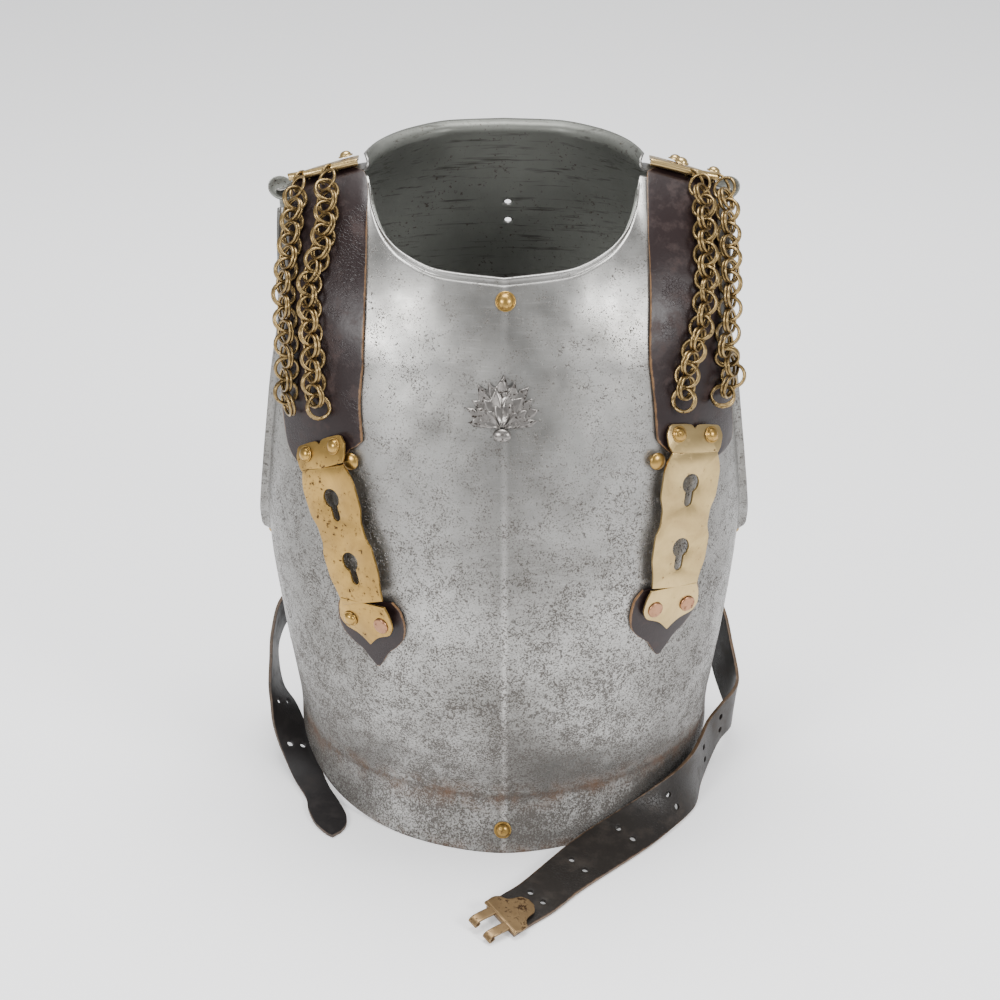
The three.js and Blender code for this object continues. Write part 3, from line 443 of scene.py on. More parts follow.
def remap(tree, value, low, high, to_low=0.0, to_high=1.0):
    made = node(tree, "MapRange", clamp=True)
    wire(tree, value, made.inputs["Value"])
    for label, number in zip(("From Min", "From Max", "To Min", "To Max"), (low, high, to_low, to_high)):
        feed(tree, number, made.inputs[label])
    return made.outputs[0]


def noise_at(tree, vector, scale, detail=4.0, rough=0.6, warp=0.0):
    made = node(tree, "TexNoise")
    settings = {"Vector": vector, "Scale": scale, "Detail": detail, "Roughness": rough, "Distortion": warp}
    for label, value in settings.items():
        feed(tree, value, made.inputs[label])
    return made.outputs["Fac"]


def use_group(tree, group, vector, **values):
    made = node(tree, "Group", node_tree=group)
    wire(tree, vector, made.inputs["Vector"])
    for label, value in values.items():
        feed(tree, value, made.inputs[label])
    return made


def mix(tree, factor, a, b):
    """A colour mix: a and b are sockets or (r, g, b)."""
    made = node(tree, "Mix", data_type="RGBA")
    feed(tree, factor, made.inputs["Factor"])
    for label, value in (("A", a), ("B", b)):
        feed(tree, value, [s for s in made.inputs if s.name == label and s.type == "RGBA"][0])
    return [s for s in made.outputs if s.type == "RGBA"][0]


def start_material(name):
    material = bpy.data.materials.new(name)
    material.use_nodes = True
    tree = material.node_tree
    where = node(tree, "TexCoord").outputs["Object"]
    return material, tree, where, tree.nodes["Principled BSDF"]


def set_bump(tree, shader, height, depth):
    bump = node(tree, "Bump")
    bump.inputs["Strength"].default_value = 1.0
    bump.inputs["Distance"].default_value = depth * MM
    wire(tree, height, bump.inputs["Height"])
    wire(tree, bump.outputs["Normal"], shader.inputs["Normal"])


print("node helpers ready")


# %% Pits and scratches, shared by the finishes

def pits_group():
    """Small corroded pits: more of them where Density is higher. 1 in a pit, 0 outside."""
    group = new_group("pits", [("Vector", 0), ("Scale", 500), ("Density", 0.5)], ["Mask", "Stain"])
    inlet, outlet = group.nodes.new("NodeGroupInput"), group.nodes.new("NodeGroupOutput")
    fine = noise_at(group, inlet.outputs["Vector"], inlet.outputs["Scale"], 5, 0.65)
    broad_scale = times(group, inlet.outputs["Scale"], 0.09)
    broad = noise_at(group, inlet.outputs["Vector"], broad_scale, 4, 0.6)
    level = maths(group, "ADD", times(group, broad, 0.35), fine)
    gate = maths(group, "SUBTRACT", 0.96, times(group, inlet.outputs["Density"], 0.3))
    over = maths(group, "SUBTRACT", level, gate)
    wire(group, remap(group, over, 0.0, 0.05), outlet.inputs["Mask"])
    wire(group, remap(group, over, -0.1, 0.08), outlet.inputs["Stain"])
    return group


def scratch_group():
    """Fine scratches along one way: a noise stretched across it."""
    group = new_group("scratches", [("Vector", 0), ("Fine", 400), ("Stretch", 0.04)], ["Mask"])
    inlet, outlet = group.nodes.new("NodeGroupInput"), group.nodes.new("NodeGroupOutput")
    squeeze = node(group, "VectorMath", operation="MULTIPLY")
    ways = node(group, "CombineXYZ")
    wire(group, inlet.outputs["Stretch"], ways.inputs["X"])
    ways.inputs["Y"].default_value = 0.3
    ways.inputs["Z"].default_value = 1
    wire(group, inlet.outputs["Vector"], squeeze.inputs[0])
    wire(group, ways.outputs[0], squeeze.inputs[1])
    lines = noise_at(group, squeeze.outputs[0], inlet.outputs["Fine"], 3, 0.7)
    wire(group, remap(group, lines, 0.56, 0.7), outlet.inputs["Mask"])
    return group


PITS, SCRATCHES = pits_group(), scratch_group()
print("finish groups", [group.name for group in (PITS, SCRATCHES)])

# %% [markdown]
# ## Pitted steel
# The plates were polished, and age has left dark pits, thickest low down, a brown stain in the
# crease above the skirt, and a bright worn lip at the neck. Two bands of painted highlight run
# down either side of the middle, with painted shade between and beyond them. A bright line along
# the ridge is partly wear and partly painted highlight, and a dark line of painted shade lies in
# the crease. Height above the ground steers how many pits there are.

# %% Steel
def plate_steel():
    """Steel outside: pits, stains, painted highlight bands with painted shade off them, a ridge line of wear
    and painted highlight, painted shade in the crease, and rust in the crease and at the foot.
    """
    material, tree, where, shader = start_material("pitted steel")
    height = node(tree, "SeparateXYZ")
    wire(tree, where, height.inputs[0])
    z = height.outputs["Z"]
    density = remap(tree, z, 0.05, 0.46, 0.96, 0.5)
    pits = use_group(tree, PITS, where, Scale=820, Density=density)
    coarse = use_group(tree, PITS, where, Scale=330, Density=times(tree, density, 0.8))
    scratch = use_group(tree, SCRATCHES, where, Fine=700, Stretch=0.05)
    cloud = noise_at(tree, where, 14, 5, 0.6, 0.4)
    tone = mix(tree, remap(tree, cloud, 0.35, 0.7), (0.4, 0.395, 0.38), (0.24, 0.235, 0.222))
    # Painted highlight and painted shade: the tone stays bright in two bands about 62 mm either side of the
    # middle, partly polish wear, and is painted darker between and beyond them.
    aside = maths(tree, "ABSOLUTE", height.outputs["X"])
    wear_and_highlight_band = maths(tree, "ABSOLUTE", maths(tree, "SUBTRACT", aside, 0.062))
    ragged = times(tree, maths(tree, "SUBTRACT", cloud, 0.5), 0.05)
    painted_shade_off_highlights = remap(tree, maths(tree, "ADD", wear_and_highlight_band, ragged), 0.015, 0.085)
    tone = mix(tree, times(tree, painted_shade_off_highlights, 0.75), tone, (0.15, 0.146, 0.136))
    # A bright line along the ridge, on both plates: partly wear, partly painted highlight, brighter low
    # down.
    ridge_wear_and_highlight = remap(tree, aside, 0.0006, 0.0034, 1.0, 0.0)
    crest = times(tree, ridge_wear_and_highlight, remap(tree, z, 0.05, 0.3, 0.75, 0.35))
    tone = mix(tree, crest, tone, (0.5, 0.49, 0.47))
    tone = mix(tree, times(tree, scratch.outputs["Mask"], 0.35), tone, (0.42, 0.415, 0.4))
    stained = mix(tree, times(tree, pits.outputs["Stain"], 0.45), tone, (0.12, 0.098, 0.078))
    pitted = maths(tree, "MAXIMUM", pits.outputs["Mask"], coarse.outputs["Mask"])
    colour = mix(tree, times(tree, pitted, 0.72), stained, (0.045, 0.036, 0.03))
    crease = maths(tree, "ABSOLUTE", maths(tree, "SUBTRACT", z, 0.043))
    rust_band = remap(tree, crease, 0.0, 0.016, 1.0, 0.0)
    # Painted shade: a narrow dark line painted along the bottom of the crease above the skirt.
    painted_crease_shade = remap(tree, crease, 0.0005, 0.0045, 0.6, 0.0)
    colour = mix(tree, painted_crease_shade, colour, (0.07, 0.055, 0.045))
    foot = remap(tree, z, 0.0, 0.008, 1.0, 0.0)
    rust_noise = remap(tree, noise_at(tree, where, 55, 6, 0.7), 0.42, 0.62)
    rust = times(tree, maths(tree, "MAXIMUM", rust_band, foot), rust_noise, True)
    colour = mix(tree, times(tree, rust, 0.8), colour, (0.12, 0.062, 0.032))
    wire(tree, colour, shader.inputs["Base Color"])
    dull = maths(tree, "MAXIMUM", pitted, rust)
    wire(tree, remap(tree, dull, 0, 1, 0.92, 0.35), shader.inputs["Metallic"])
    smear = remap(tree, noise_at(tree, where, 40, 4, 0.6), 0.3, 0.7, 0.3, 0.44)
    wire(tree, maths(tree, "ADD", smear, times(tree, dull, 0.4)), shader.inputs["Roughness"])
    dents = times(tree, noise_at(tree, where, 24, 2, 0.5), 1.2)
    relief = maths(tree, "SUBTRACT", dents, times(tree, pitted, 0.35))
    set_bump(tree, shader, relief, 0.5)
    return material


def inner_steel():
    """Steel inside: darker and duller, with dark strokes along it."""
    material, tree, where, shader = start_material("inner steel")
    scratch = use_group(tree, SCRATCHES, where, Fine=260, Stretch=0.06)
    pits = use_group(tree, PITS, where, Scale=360, Density=0.55)
    cloud = remap(tree, noise_at(tree, where, 9, 5, 0.6), 0.3, 0.7)
    tone = mix(tree, cloud, (0.2, 0.205, 0.185), (0.115, 0.118, 0.105))
    tone = mix(tree, times(tree, scratch.outputs["Mask"], 0.8), tone, (0.045, 0.042, 0.036))
    colour = mix(tree, pits.outputs["Mask"], tone, (0.06, 0.05, 0.04))
    wire(tree, colour, shader.inputs["Base Color"])
    shader.inputs["Metallic"].default_value = 0.65
    wire(tree, remap(tree, scratch.outputs["Mask"], 0, 1, 0.48, 0.7), shader.inputs["Roughness"])
    set_bump(tree, shader, noise_at(tree, where, 180, 4, 0.6), 0.25)
    return material


STEEL, INNER_STEEL = plate_steel(), inner_steel()
print("steel finishes", STEEL.name, "and", INNER_STEEL.name)

# %% [markdown]
# ## Brass, copper and leather
# Brass differs only in its tones and in how much dark tarnish lies on it, so one function makes
# every kind. Leather is dark on its grain side and tan on its raw, worn edges.

# %% Brass, copper and leather
def aged_metal(name, bright, dark, tarnish, rough, scale=260):
    """Worn metal: bright is the rubbed tone, dark the tone of its pits."""
    material, tree, where, shader = start_material(name)
    pits = use_group(tree, PITS, where, Scale=scale, Density=tarnish)
    broad = remap(tree, noise_at(tree, where, scale * 0.12, 5, 0.65, 0.6), 0.32, 0.7)
    worn = tuple(blend(a, b, 0.45) for a, b in zip(bright, dark))
    tone = mix(tree, broad, bright, worn)
    tone = mix(tree, times(tree, pits.outputs["Stain"], 0.5), tone, worn)
    wire(tree, mix(tree, pits.outputs["Mask"], tone, dark), shader.inputs["Base Color"])
    shader.inputs["Metallic"].default_value = 0.95
    wire(tree, remap(tree, pits.outputs["Stain"], 0, 1, rough, rough + 0.3), shader.inputs["Roughness"])
    relief = maths(tree, "SUBTRACT", noise_at(tree, where, scale * 0.3, 3), pits.outputs["Mask"])
    set_bump(tree, shader, relief, 0.12)
    return material


def leather(name, grain, worn, edge, gloss, crack=0.5):
    """Grain leather: grain is its tone, worn the rubbed tone, and edge the tone of a cut edge."""
    material, tree, where, shader = start_material(name)
    shader.inputs["Specular IOR Level"].default_value = 0.32
    rim = node(tree, "Attribute", attribute_name="rim").outputs["Fac"]
    cells = node(tree, "TexVoronoi", feature="DISTANCE_TO_EDGE")
    wire(tree, where, cells.inputs["Vector"])
    cells.inputs["Scale"].default_value = 420
    broken = remap(tree, noise_at(tree, where, 22, 3, 0.6), 0.5, 0.62)
    creases = times(tree, remap(tree, cells.outputs["Distance"], 0.0, 0.07, 1.0, 0.0), broken)
    wear_and_highlight_band = remap(tree, noise_at(tree, where, 60, 6, 0.7), 0.5, 0.68)
    tone = mix(tree, times(tree, wear_and_highlight_band, 0.65), grain, worn)
    tone = mix(tree, times(tree, creases, crack), tone, tuple(value * 0.35 for value in grain))
    ragged = times(tree, noise_at(tree, where, 130, 5, 0.7), 2.6)
    raw = remap(tree, maths(tree, "SUBTRACT", rim, ragged), -1.5, -0.5, 1.0, 0.0)
    wire(tree, mix(tree, times(tree, raw, 0.9), tone, edge), shader.inputs["Base Color"])
    wire(tree, remap(tree, wear_and_highlight_band, 0, 1, gloss, gloss + 0.22), shader.inputs["Roughness"])
    relief = maths(tree, "SUBTRACT", noise_at(tree, where, 70, 3), times(tree, creases, 0.4))
    set_bump(tree, shader, relief, 0.25)
    return material


BRASS = aged_metal("aged brass", (0.45, 0.28, 0.08), (0.07, 0.036, 0.014), 0.6, 0.3)
PALE_BRASS = aged_metal("pale brass", (0.55, 0.4, 0.18), (0.15, 0.09, 0.04), 0.42, 0.28)
CHAIN_BRASS = aged_metal("chain brass", (0.34, 0.235, 0.1), (0.035, 0.024, 0.014), 0.62, 0.32, 500)
CLASP_BRASS = aged_metal("clasp brass", (0.27, 0.18, 0.09), (0.06, 0.034, 0.018), 0.6, 0.36)
COPPER = aged_metal("worn copper", (0.4, 0.21, 0.12), (0.13, 0.06, 0.035), 0.6, 0.34)
BADGE_METAL = aged_metal("badge metal", (0.27, 0.255, 0.24), (0.035, 0.028, 0.024), 0.75, 0.3, 420)
STRAP = leather("strap leather", (0.014, 0.0075, 0.0075), (0.04, 0.022, 0.019), (0.22, 0.12, 0.055), 0.34)
BELT = leather("belt leather", (0.015, 0.012, 0.01), (0.045, 0.035, 0.028), (0.13, 0.08, 0.045), 0.4)
DARK_BELT = leather(
    "dark belt leather", (0.016, 0.014, 0.014), (0.035, 0.03, 0.028), (0.1, 0.07, 0.05), 0.5, 0.25,
)

floor_material, _, _, floor_shader = start_material("floor")
floor_shader.inputs["Base Color"].default_value = (0.94, 0.94, 0.95, 1)
floor_shader.inputs["Roughness"].default_value = 0.6
floor_shader.inputs["Emission Color"].default_value = (1, 1, 1, 1)
floor_shader.inputs["Emission Strength"].default_value = 0.42
floor_shader.inputs["Specular IOR Level"].default_value = 0.2
floor_data.materials.append(floor_material)
print("materials", len(bpy.data.materials))

# %% [markdown]
# ## Breastplate and backplate
# One grid covers a plate's face. Past its sides it runs on into the turned armhole flanges, and
# past the top of the backplate into the collar's rolled rim. Rows that lie close together at the
# neck let a narrow raised lip and the groove under it show as real relief.

# %% Points on a plate's face, flanges and rim
# The shares of a plate's grid that its flanges and its rolled rim take up.
FLANGE_SHARE = 0.04
RIM_SHARE = 0.03
RIM_FADE = 0.07
FLANGE_BEND, RIM_BEND = 5, 3.5
UNCUT = 10  # a point this far from any cut edge shows no raw edge


def turned_edge(width, turn, fraction, bend):
    """A strip that leaves an edge and turns outwards: how far along, and how far out."""
    angle = math.radians(turn)
    length = width * fraction
    if angle < 0.01:
        return length, 0
    arc = min(width, bend * angle)
    radius = arc / angle
    swept = min(length, arc) / radius
    straight = max(0, length - arc)
    along = radius * math.sin(swept) + straight * math.cos(angle)
    return along, radius * (1 - math.cos(swept)) + straight * math.sin(angle)


def flange_point(plate, s, v, fraction):
    edge = plate_point(plate, s, v)
    if fraction <= 0:
        return edge
    out = (edge - plate_point(plate, s * 0.99, v)).normalized()
    width = read(plate["flange"], "z", "width", edge.z)
    turn = read(plate["flange"], "z", "turn", edge.z)
    along, lift = turned_edge(width, turn, fraction, FLANGE_BEND)
    return edge + out * along + plate_normal(plate, s, v) * lift


def row_height(r):
    """Rows are closer at the skirt's crease, at the armhole tips and near the top edge."""
    if r < 0.12:
        return r / 0.12
    if r < 0.6:
        return 1 + (r - 0.12) / 0.48
    return 2 + ((r - 0.6) / 0.4) ** 0.85


NECK_SHARE = 0.66  # the neckline runs this far to each side
LIP_HEIGHT, LIP_AT = 1.1, 1.7
GROOVE_DEPTH, GROOVE_AT, GROOVE_HALF = 0.8, 5, 2


def lip_relief(plate, s, v):
    """A fine raised lip along the neck, with a groove below it."""
    if plate["side"] > 0 or abs(s) > NECK_SHARE:
        return 0
    below = (plate_point(plate, s, 3) - plate_point(plate, s, v)).length
    lip = LIP_HEIGHT * clamp(1 - abs(below - LIP_AT) / LIP_AT)
    groove = GROOVE_DEPTH * clamp(1 - abs(below - GROOVE_AT) / GROOVE_HALF)
    return (lip - groove) * clamp((NECK_SHARE - abs(s)) / 0.06)


def plate_face_point(plate, c, r):
    rim = plate["rim"]
    top = 1 - RIM_SHARE if rim["width"] else 1
    v = row_height(min(1, r / top))
    across = (c - FLANGE_SHARE) / (1 - 2 * FLANGE_SHARE)
    s = clamp(blend(-1, 1, across), -1, 1)
    beyond = max(0, FLANGE_SHARE - c, c - 1 + FLANGE_SHARE) / FLANGE_SHARE
    point = flange_point(plate, s, v, beyond)
    if beyond == 0:
        bumps = noise.noise(point * 0.02) * 0.5 + noise.noise(point * 0.06) * 0.2
        fade = clamp((1 - abs(s)) / 0.05) * clamp((3 - v) / 0.1) * clamp(v / 0.3)
        point += plate_normal(plate, s, v) * (lip_relief(plate, s, v) + bumps * fade)
    if r > top:
        inside = clamp((abs(s) - rim["to"]) / RIM_FADE)
        inside = 1 - inside * inside * (3 - 2 * inside)
        width = blend(rim["end"], rim["width"], inside)
        along, lift = turned_edge(width, rim["turn"] * inside, (r - top) / RIM_SHARE, RIM_BEND)
        up = (plate_point(plate, s, 3) - plate_point(plate, s, 2.98)).normalized()
        point += up * along + plate_normal(plate, s, 3) * lift
    return point, UNCUT


print("neck lip", LIP_HEIGHT, "mm high, groove", GROOVE_DEPTH, "mm deep")


# %% Plates
BACK_HOLES = [Vector((4, 112, 424)), Vector((4, 115, 407))]
BACK_FACING = Vector((0, 0.97, 0.24))
BACK_HOLE_RADIUS, BELT_HOLE_RADIUS = 2.6, 2.4


def open_hole(bm, centre, facing, radius):
    """Removes the points inside the hole and draws the ring round them into a circle."""
    centre = to_frame(centre)
    near = {vert for vert in bm.verts if (vert.co - centre).length < radius * MM}
    ring = {vert for face in {f for v in near for f in v.link_faces} for vert in face.verts} - near
    bmesh.ops.delete(bm, geom=list(near), context="VERTS")
    for vert in ring:
        away = vert.co - centre
        depth = facing * away.dot(facing)
        vert.co = centre + (away - depth).normalized() * radius * 1.04 * MM + depth


def plate_shell(plate, columns, rows, holes=()):
    bm = grid_sheet(columns, rows, lambda c, r: plate_face_point(plate, c, r))
    for hole in holes:
        nearest = min(bm.verts, key=lambda vert: (vert.co - to_frame(hole)).length)
        open_hole(bm, nearest.co / MM - SEAM_MIDDLE, BACK_FACING, BACK_HOLE_RADIUS)
    if plate["side"] > 0:
        bmesh.ops.reverse_faces(bm, faces=list(bm.faces))
    thicken(bm, plate["wall"], inner_material=1)
    rest_on_ground(bm)
    return bm


SPAN, RISE = ((168, 176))
breast_shell = plate_shell(BREAST, SPAN, RISE)
finish_piece("breast_shell", breast_shell, [STEEL, INNER_STEEL], ["breastplate"])

# A cupped disc stands at each end of the backplate's shoulder line, under the brass.
EAR_TILT = Vector((-0.3, -0.6, 0.75))
EAR_PROFILE = [
    (0, -2.6), (4, -2.3), (7.2, -1.3), (9.4, 0.4), (9.9, 1.1),
    (9.7, 1.6), (9.1, 1.6), (7, -0.1), (4, -1), (0, -1.3),
]
EAR_PLACE = Vector((160, 8, 469))
back_shell = plate_shell(BACK, SPAN, RISE, BACK_HOLES)
for side in (-1, 1):
    to_side = Vector((side, 1, 1))
    for vert in spun(back_shell, EAR_PROFILE, 40, stand(EAR_PLACE * to_side, EAR_TILT * to_side)):
        for face in vert.link_faces:
            face.material_index = 1
finish_piece("back_shell", back_shell, [STEEL, INNER_STEEL], ["backplate"])

# %% [markdown]
# ## Rivets and studs
# Every rivet is a turned shape, so each profile is spun. A domed head sits in a thin ring, which
# catches the light. The two button studs on the chest are where the keyhole plates would hook.

# %% Rivets and studs
def dome_profile(radius, height):
    ring = [(radius, 0), (radius, 0.5), (radius * 0.95, 0.8), (radius * 0.87, 0.75), (radius * 0.83, 0.6)]
    dome = [
        (radius * 0.8 * math.cos(math.radians(a)), 0.7 + (height - 0.7) * math.sin(math.radians(a)))
        for a in (0, 15, 30, 45, 60, 75)
    ]
    return ring + dome + [(0, height)]


def flat_profile(radius, height):
    shape = [(1, 0), (1, 0.5), (0.93, 0.9), (0.8, 1), (0, 0.92)]
    return [(radius * out_by, height * up_by) for out_by, up_by in shape]


STUD_PROFILE = [
    (2.6, 0), (2.6, 3.2), (5.6, 3.3), (6.2, 3.7), (6.2, 4.3), (5.7, 5), (4.4, 5.8), (2.4, 6.5), (0, 6.7),
]
STUD_AT = (105.5, 314.5)


def rivet(node_name, profile, point, direction, material=BRASS):
    bm = bmesh.new()
    spun(bm, profile, 28, stand(point, direction))
    finish_piece(node_name + "_head", bm, [material], [node_name])


print("a domed rivet's side view has", len(dome_profile(6, 3.8)), "points")

# %% Rivets and studs in place
GAP = 0.35
STRIP_LIFT, STRIP_THICK, STRIP_MIDDLE = 0.6, 1.8, 0.972
SIDE_RIVET_HEIGHTS = (190, 140, 92)
for node_name, x, z, radius, extra in (("neck_rivet", 1, 427, 7.2, 0.1), ("waist_rivet", -1, 17, 6.6, 0.5)):
    rivet(node_name, dome_profile(radius, 4.6), on_chest(x, z, GAP + extra), chest_normal(x, z))
for name, side in (("right", -1), ("left", 1)):
    x, z = side * STUD_AT[0], STUD_AT[1]
    rivet(f"stud_{name}", STUD_PROFILE, on_chest(x, z, GAP), chest_normal(x, z))
    for i, z in enumerate(SIDE_RIVET_HEIGHTS):
        place = (BACK, side * STRIP_MIDDLE, body_share(z))
        spot = raised(*place, STRIP_LIFT + STRIP_THICK + GAP)
        rivet(f"side_rivet_{name}_{i + 1}", dome_profile(4.2, 3), spot, plate_normal(*place))

SHOULDER_ROWS = table("v leather brass", (2.87, 1.6, 4.6), (2.94, 2.2, 5.2), (2.99, 2.6, 6.2))
PLATE_THICK, SHOULDER_RIVET_LIFT = 1.5, 1.3
SHOULDER_RIVETS = {
    "shoulder_rivet_right_1": (-0.73, 2.9), "shoulder_rivet_left_1": (0.775, 2.88),
    "shoulder_rivet_left_2": (0.795, 2.955), "shoulder_rivet_left_3": (0.93, 2.955),
}
for node_name, (s, v) in SHOULDER_RIVETS.items():
    lift = read(SHOULDER_ROWS, "v", "brass", v) + PLATE_THICK + SHOULDER_RIVET_LIFT
    rivet(node_name, dome_profile(5.4, 4), raised(BACK, s, v, lift), plate_normal(BACK, s, v), PALE_BRASS)

# %% [markdown]
# ## Shoulder leathers
# Each leather covers the shoulder and hangs under the brass plate. It is a sheet on the steel,
# a little uneven, whose cut edges are worn down to tan.

# %% Leathers
STRAP_REST, STRAP_THICK = 0.9, 2.2
SHOULDER_LEATHER = {
    "right": table(
        "v inner outer",
        (1.752, 0.62, 0.71), (1.768, 0.565, 0.795), (1.79, 0.545, 0.84), (1.82, 0.54, 0.87),
        (1.85, 0.485, 0.895), (1.88, 0.495, 0.915), (1.93, 0.513, 0.94), (2.1, 0.535, 0.965),
        (2.38, 0.554, 0.97), (2.65, 0.575, 0.97), (2.81, 0.622, 0.965), (3, 0.69, 0.955),
    ),
    "left": table(
        "v inner outer",
        (1.764, 0.73, 0.85), (1.778, 0.675, 0.925), (1.8, 0.61, 0.95), (1.823, 0.565, 0.955),
        (1.85, 0.533, 0.958), (1.92, 0.539, 0.96), (2.15, 0.564, 0.965), (2.4, 0.605, 0.97),
        (2.6, 0.65, 0.97), (2.76, 0.687, 0.965), (2.9, 0.7, 0.96), (3, 0.705, 0.955),
    ),
}
OVER_BACK = 0.14


def leather_point(name, side, c, r):
    """From the lower end up the chest, then over the shoulder onto the backplate."""
    rows = SHOULDER_LEATHER[name]
    ripple = noise.noise(Vector((c * 3 + side, r * 9, 0.5))) * 0.35
    if r > 1 - OVER_BACK:
        f = (r - 1 + OVER_BACK) / OVER_BACK
        v = blend(2.99, 2.87, f)
        s = side * blend(0.73, 0.945, c)
        lift = read(SHOULDER_ROWS, "v", "leather", v)
        point = raised(BACK, s, v, lift + STRAP_THICK)
    else:
        f = r / (1 - OVER_BACK)
        first = rows["v"][0]
        v = blend(first, 3, f) if f > 0.3 else blend(first, blend(first, 3, 0.3), (f / 0.3) ** 1.3)
        inner, outer = read(rows, "v", "inner", v), read(rows, "v", "outer", v)
        lift = STRAP_REST + STRAP_THICK + 2 * clamp((v - 2.7) / 0.3) + ripple
        point = raised(BREAST, side * blend(inner, outer, c), v, lift)
    edge = min(min(c, 1 - c) * 62, r * 260)
    return point, edge


for name, side in (("right", -1), ("left", 1)):
    bm = grid_sheet(40, 120, lambda c, r: leather_point(name, side, c, r))
    if side < 0:
        bmesh.ops.reverse_faces(bm, faces=list(bm.faces))
    thicken(bm, STRAP_THICK)
    finish_piece(f"strap_{name}", bm, [STRAP], [f"shoulder_leather_{name}"], bevel=0.6)
print("shoulder leathers", STRAP_THICK, "mm thick")

# %% Tongues below the end plates
TONGUE_REST, TONGUE_REACH = 0.8, 54
TONGUE = table(
    "down half", (1, 21), (8, 27), (18, 28.5), (27, 26.5), (34, 20), (40, 11), (45, 7), (52, 1.2),
)
END_PLATES = {
    "right": {
        "upper": (-125.8, 318.5), "top": (-121.8, 306), "bottom": (-96.2, 215), "tip": (-89, 158),
        "heading": -35,
    },
    "left": {
        "upper": (130.6, 328), "top": (128.6, 314.6), "bottom": (116.3, 220), "tip": (110, 160),
        "heading": 31,
    },
}


def tongue_point(plate, c, r):
    (x0, z0), (x1, z1) = plate["bottom"], plate["tip"]
    down = blend(TONGUE["down"][0], TONGUE["down"][-1], r)
    across = blend(-1, 1, c) * read(TONGUE, "down", "half", down)
    slope = (x1 - x0) / (z1 - z0)
    spread = across * math.cos(math.radians(plate["heading"])) * 1.02
    x, z = blend(x0, x1, down / TONGUE_REACH), blend(z0, z1, down / TONGUE_REACH)
    point = on_chest(x + spread, z - spread * slope, TONGUE_REST + STRAP_THICK)
    return point, min(min(c, 1 - c) * 50, (1 - r) * 60, 4 + r * 60)


for name, plate in END_PLATES.items():
    bm = grid_sheet(22, 30, lambda c, r: tongue_point(plate, c, r))
    bmesh.ops.reverse_faces(bm, faces=list(bm.faces))
    thicken(bm, STRAP_THICK)
    finish_piece(f"tongue_{name}", bm, [STRAP], [f"tongue_leather_{name}"], bevel=0.5)
print("tongues", round(TONGUE["down"][-1] - TONGUE["down"][0]), "mm long")

# %% Side strips
STRIP_FOOT, STRIP_TOP, STRIP_WIDTH, STRIP_INNER = 62, 190, 9, 0.945


def strip_point(side, c, r):
    v = body_share(blend(STRIP_FOOT, STRIP_TOP, r))
    point = raised(BACK, side * blend(STRIP_INNER, 1, c), v, STRIP_LIFT + STRIP_THICK)
    return point, min(min(c, 1 - c) * STRIP_WIDTH, min(r, 1 - r) * (STRIP_TOP - STRIP_FOOT))


for name, side in (("right", -1), ("left", 1)):
    bm = grid_sheet(6, 40, lambda c, r: strip_point(side, c, r))
    if side > 0:
        bmesh.ops.reverse_faces(bm, faces=list(bm.faces))
    thicken(bm, STRIP_THICK)
    finish_piece(f"side_leather_{name}", bm, [DARK_BELT], [f"side_strip_{name}"], bevel=0.4)
print("side strips", STRIP_TOP - STRIP_FOOT, "mm long")

# %% [markdown]
# ## Brass end plates
# Each end plate was cut from sheet brass, pierced with two keyholes and bent across in two
# places. A flat outline is filled round its holes, given its thickness and stood in the panel's
# own frame. A round bar closes each bend.

# %% End plates: outlines and frames
BRASS_THICK = 1.8
MAIN_LENGTH = 98
MAIN_PANEL = table(
    "down half",
    (0, 20), (7, 23), (15, 24.5), (30, 24.3), (42, 21), (52, 20.8), (62, 23.6), (76, 23.4), (90, 20.5),
    (MAIN_LENGTH, 19.5),
)
UPPER_FLAP = table("down half", (0, 20), (5, 23), (13, 24.5), (17, 23))
LOWER_FLAP = table("down half", (0, 19.5), (8, 22.5), (16, 23.5), (23, 20), (27, 10), (30, 5.5), (35, 0.3))
KEYHOLE = {"radius": 7.2, "slot": 3.6, "end": 17}


def panel_frame(start, end, heading):
    down = (end - start).normalized()
    out = Vector((math.sin(math.radians(heading)), -math.cos(math.radians(heading)), 0))
    out = (out - down * out.dot(down)).normalized()
    across = out.cross(down).normalized()
    return {"start": start, "down": down, "out": out, "across": across, "long": (end - start).length}


def plate_frames(plate):
    """The frames of the upper flap, the main panel and the lower flap."""
    lifts = {"upper": STRAP_REST + STRAP_THICK + BRASS_THICK, "top": 8.5, "bottom": 8, "tip": 5.2}
    at = {key: on_chest(*plate[key], lift) for key, lift in lifts.items()}
    ends = (("top", "upper"), ("top", "bottom"), ("bottom", "tip"))
    return [panel_frame(at[start], at[end], plate["heading"]) for start, end in ends]


def in_panel(panel, across, down, out):
    return panel["start"] + panel["across"] * across + panel["down"] * down + panel["out"] * out


def side_outline(rows, stretch=1.0, steps=26):
    """One side of an outline, as (across, down) pairs from the first row to the last."""
    first, last = rows["down"][0], rows["down"][-1]
    downs = [blend(first, last, i / steps) for i in range(steps + 1)]
    return [(read(rows, "down", "half", down), down * stretch) for down in downs]


def keyhole(down):
    """A round hole with a narrower slot below it, as one outline."""
    start = math.asin(KEYHOLE["slot"] / KEYHOLE["radius"])
    swing = math.tau - 2 * start
    ring = [math.pi / 2 + start + swing * i / 30 for i in range(31)]
    points = [(KEYHOLE["radius"] * math.cos(a), down + KEYHOLE["radius"] * math.sin(a)) for a in ring]
    foot = down + KEYHOLE["end"] - KEYHOLE["slot"]
    slot = [math.pi * i / 10 for i in range(11)]
    return points + [(KEYHOLE["slot"] * math.cos(a), foot + KEYHOLE["slot"] * math.sin(a)) for a in slot]


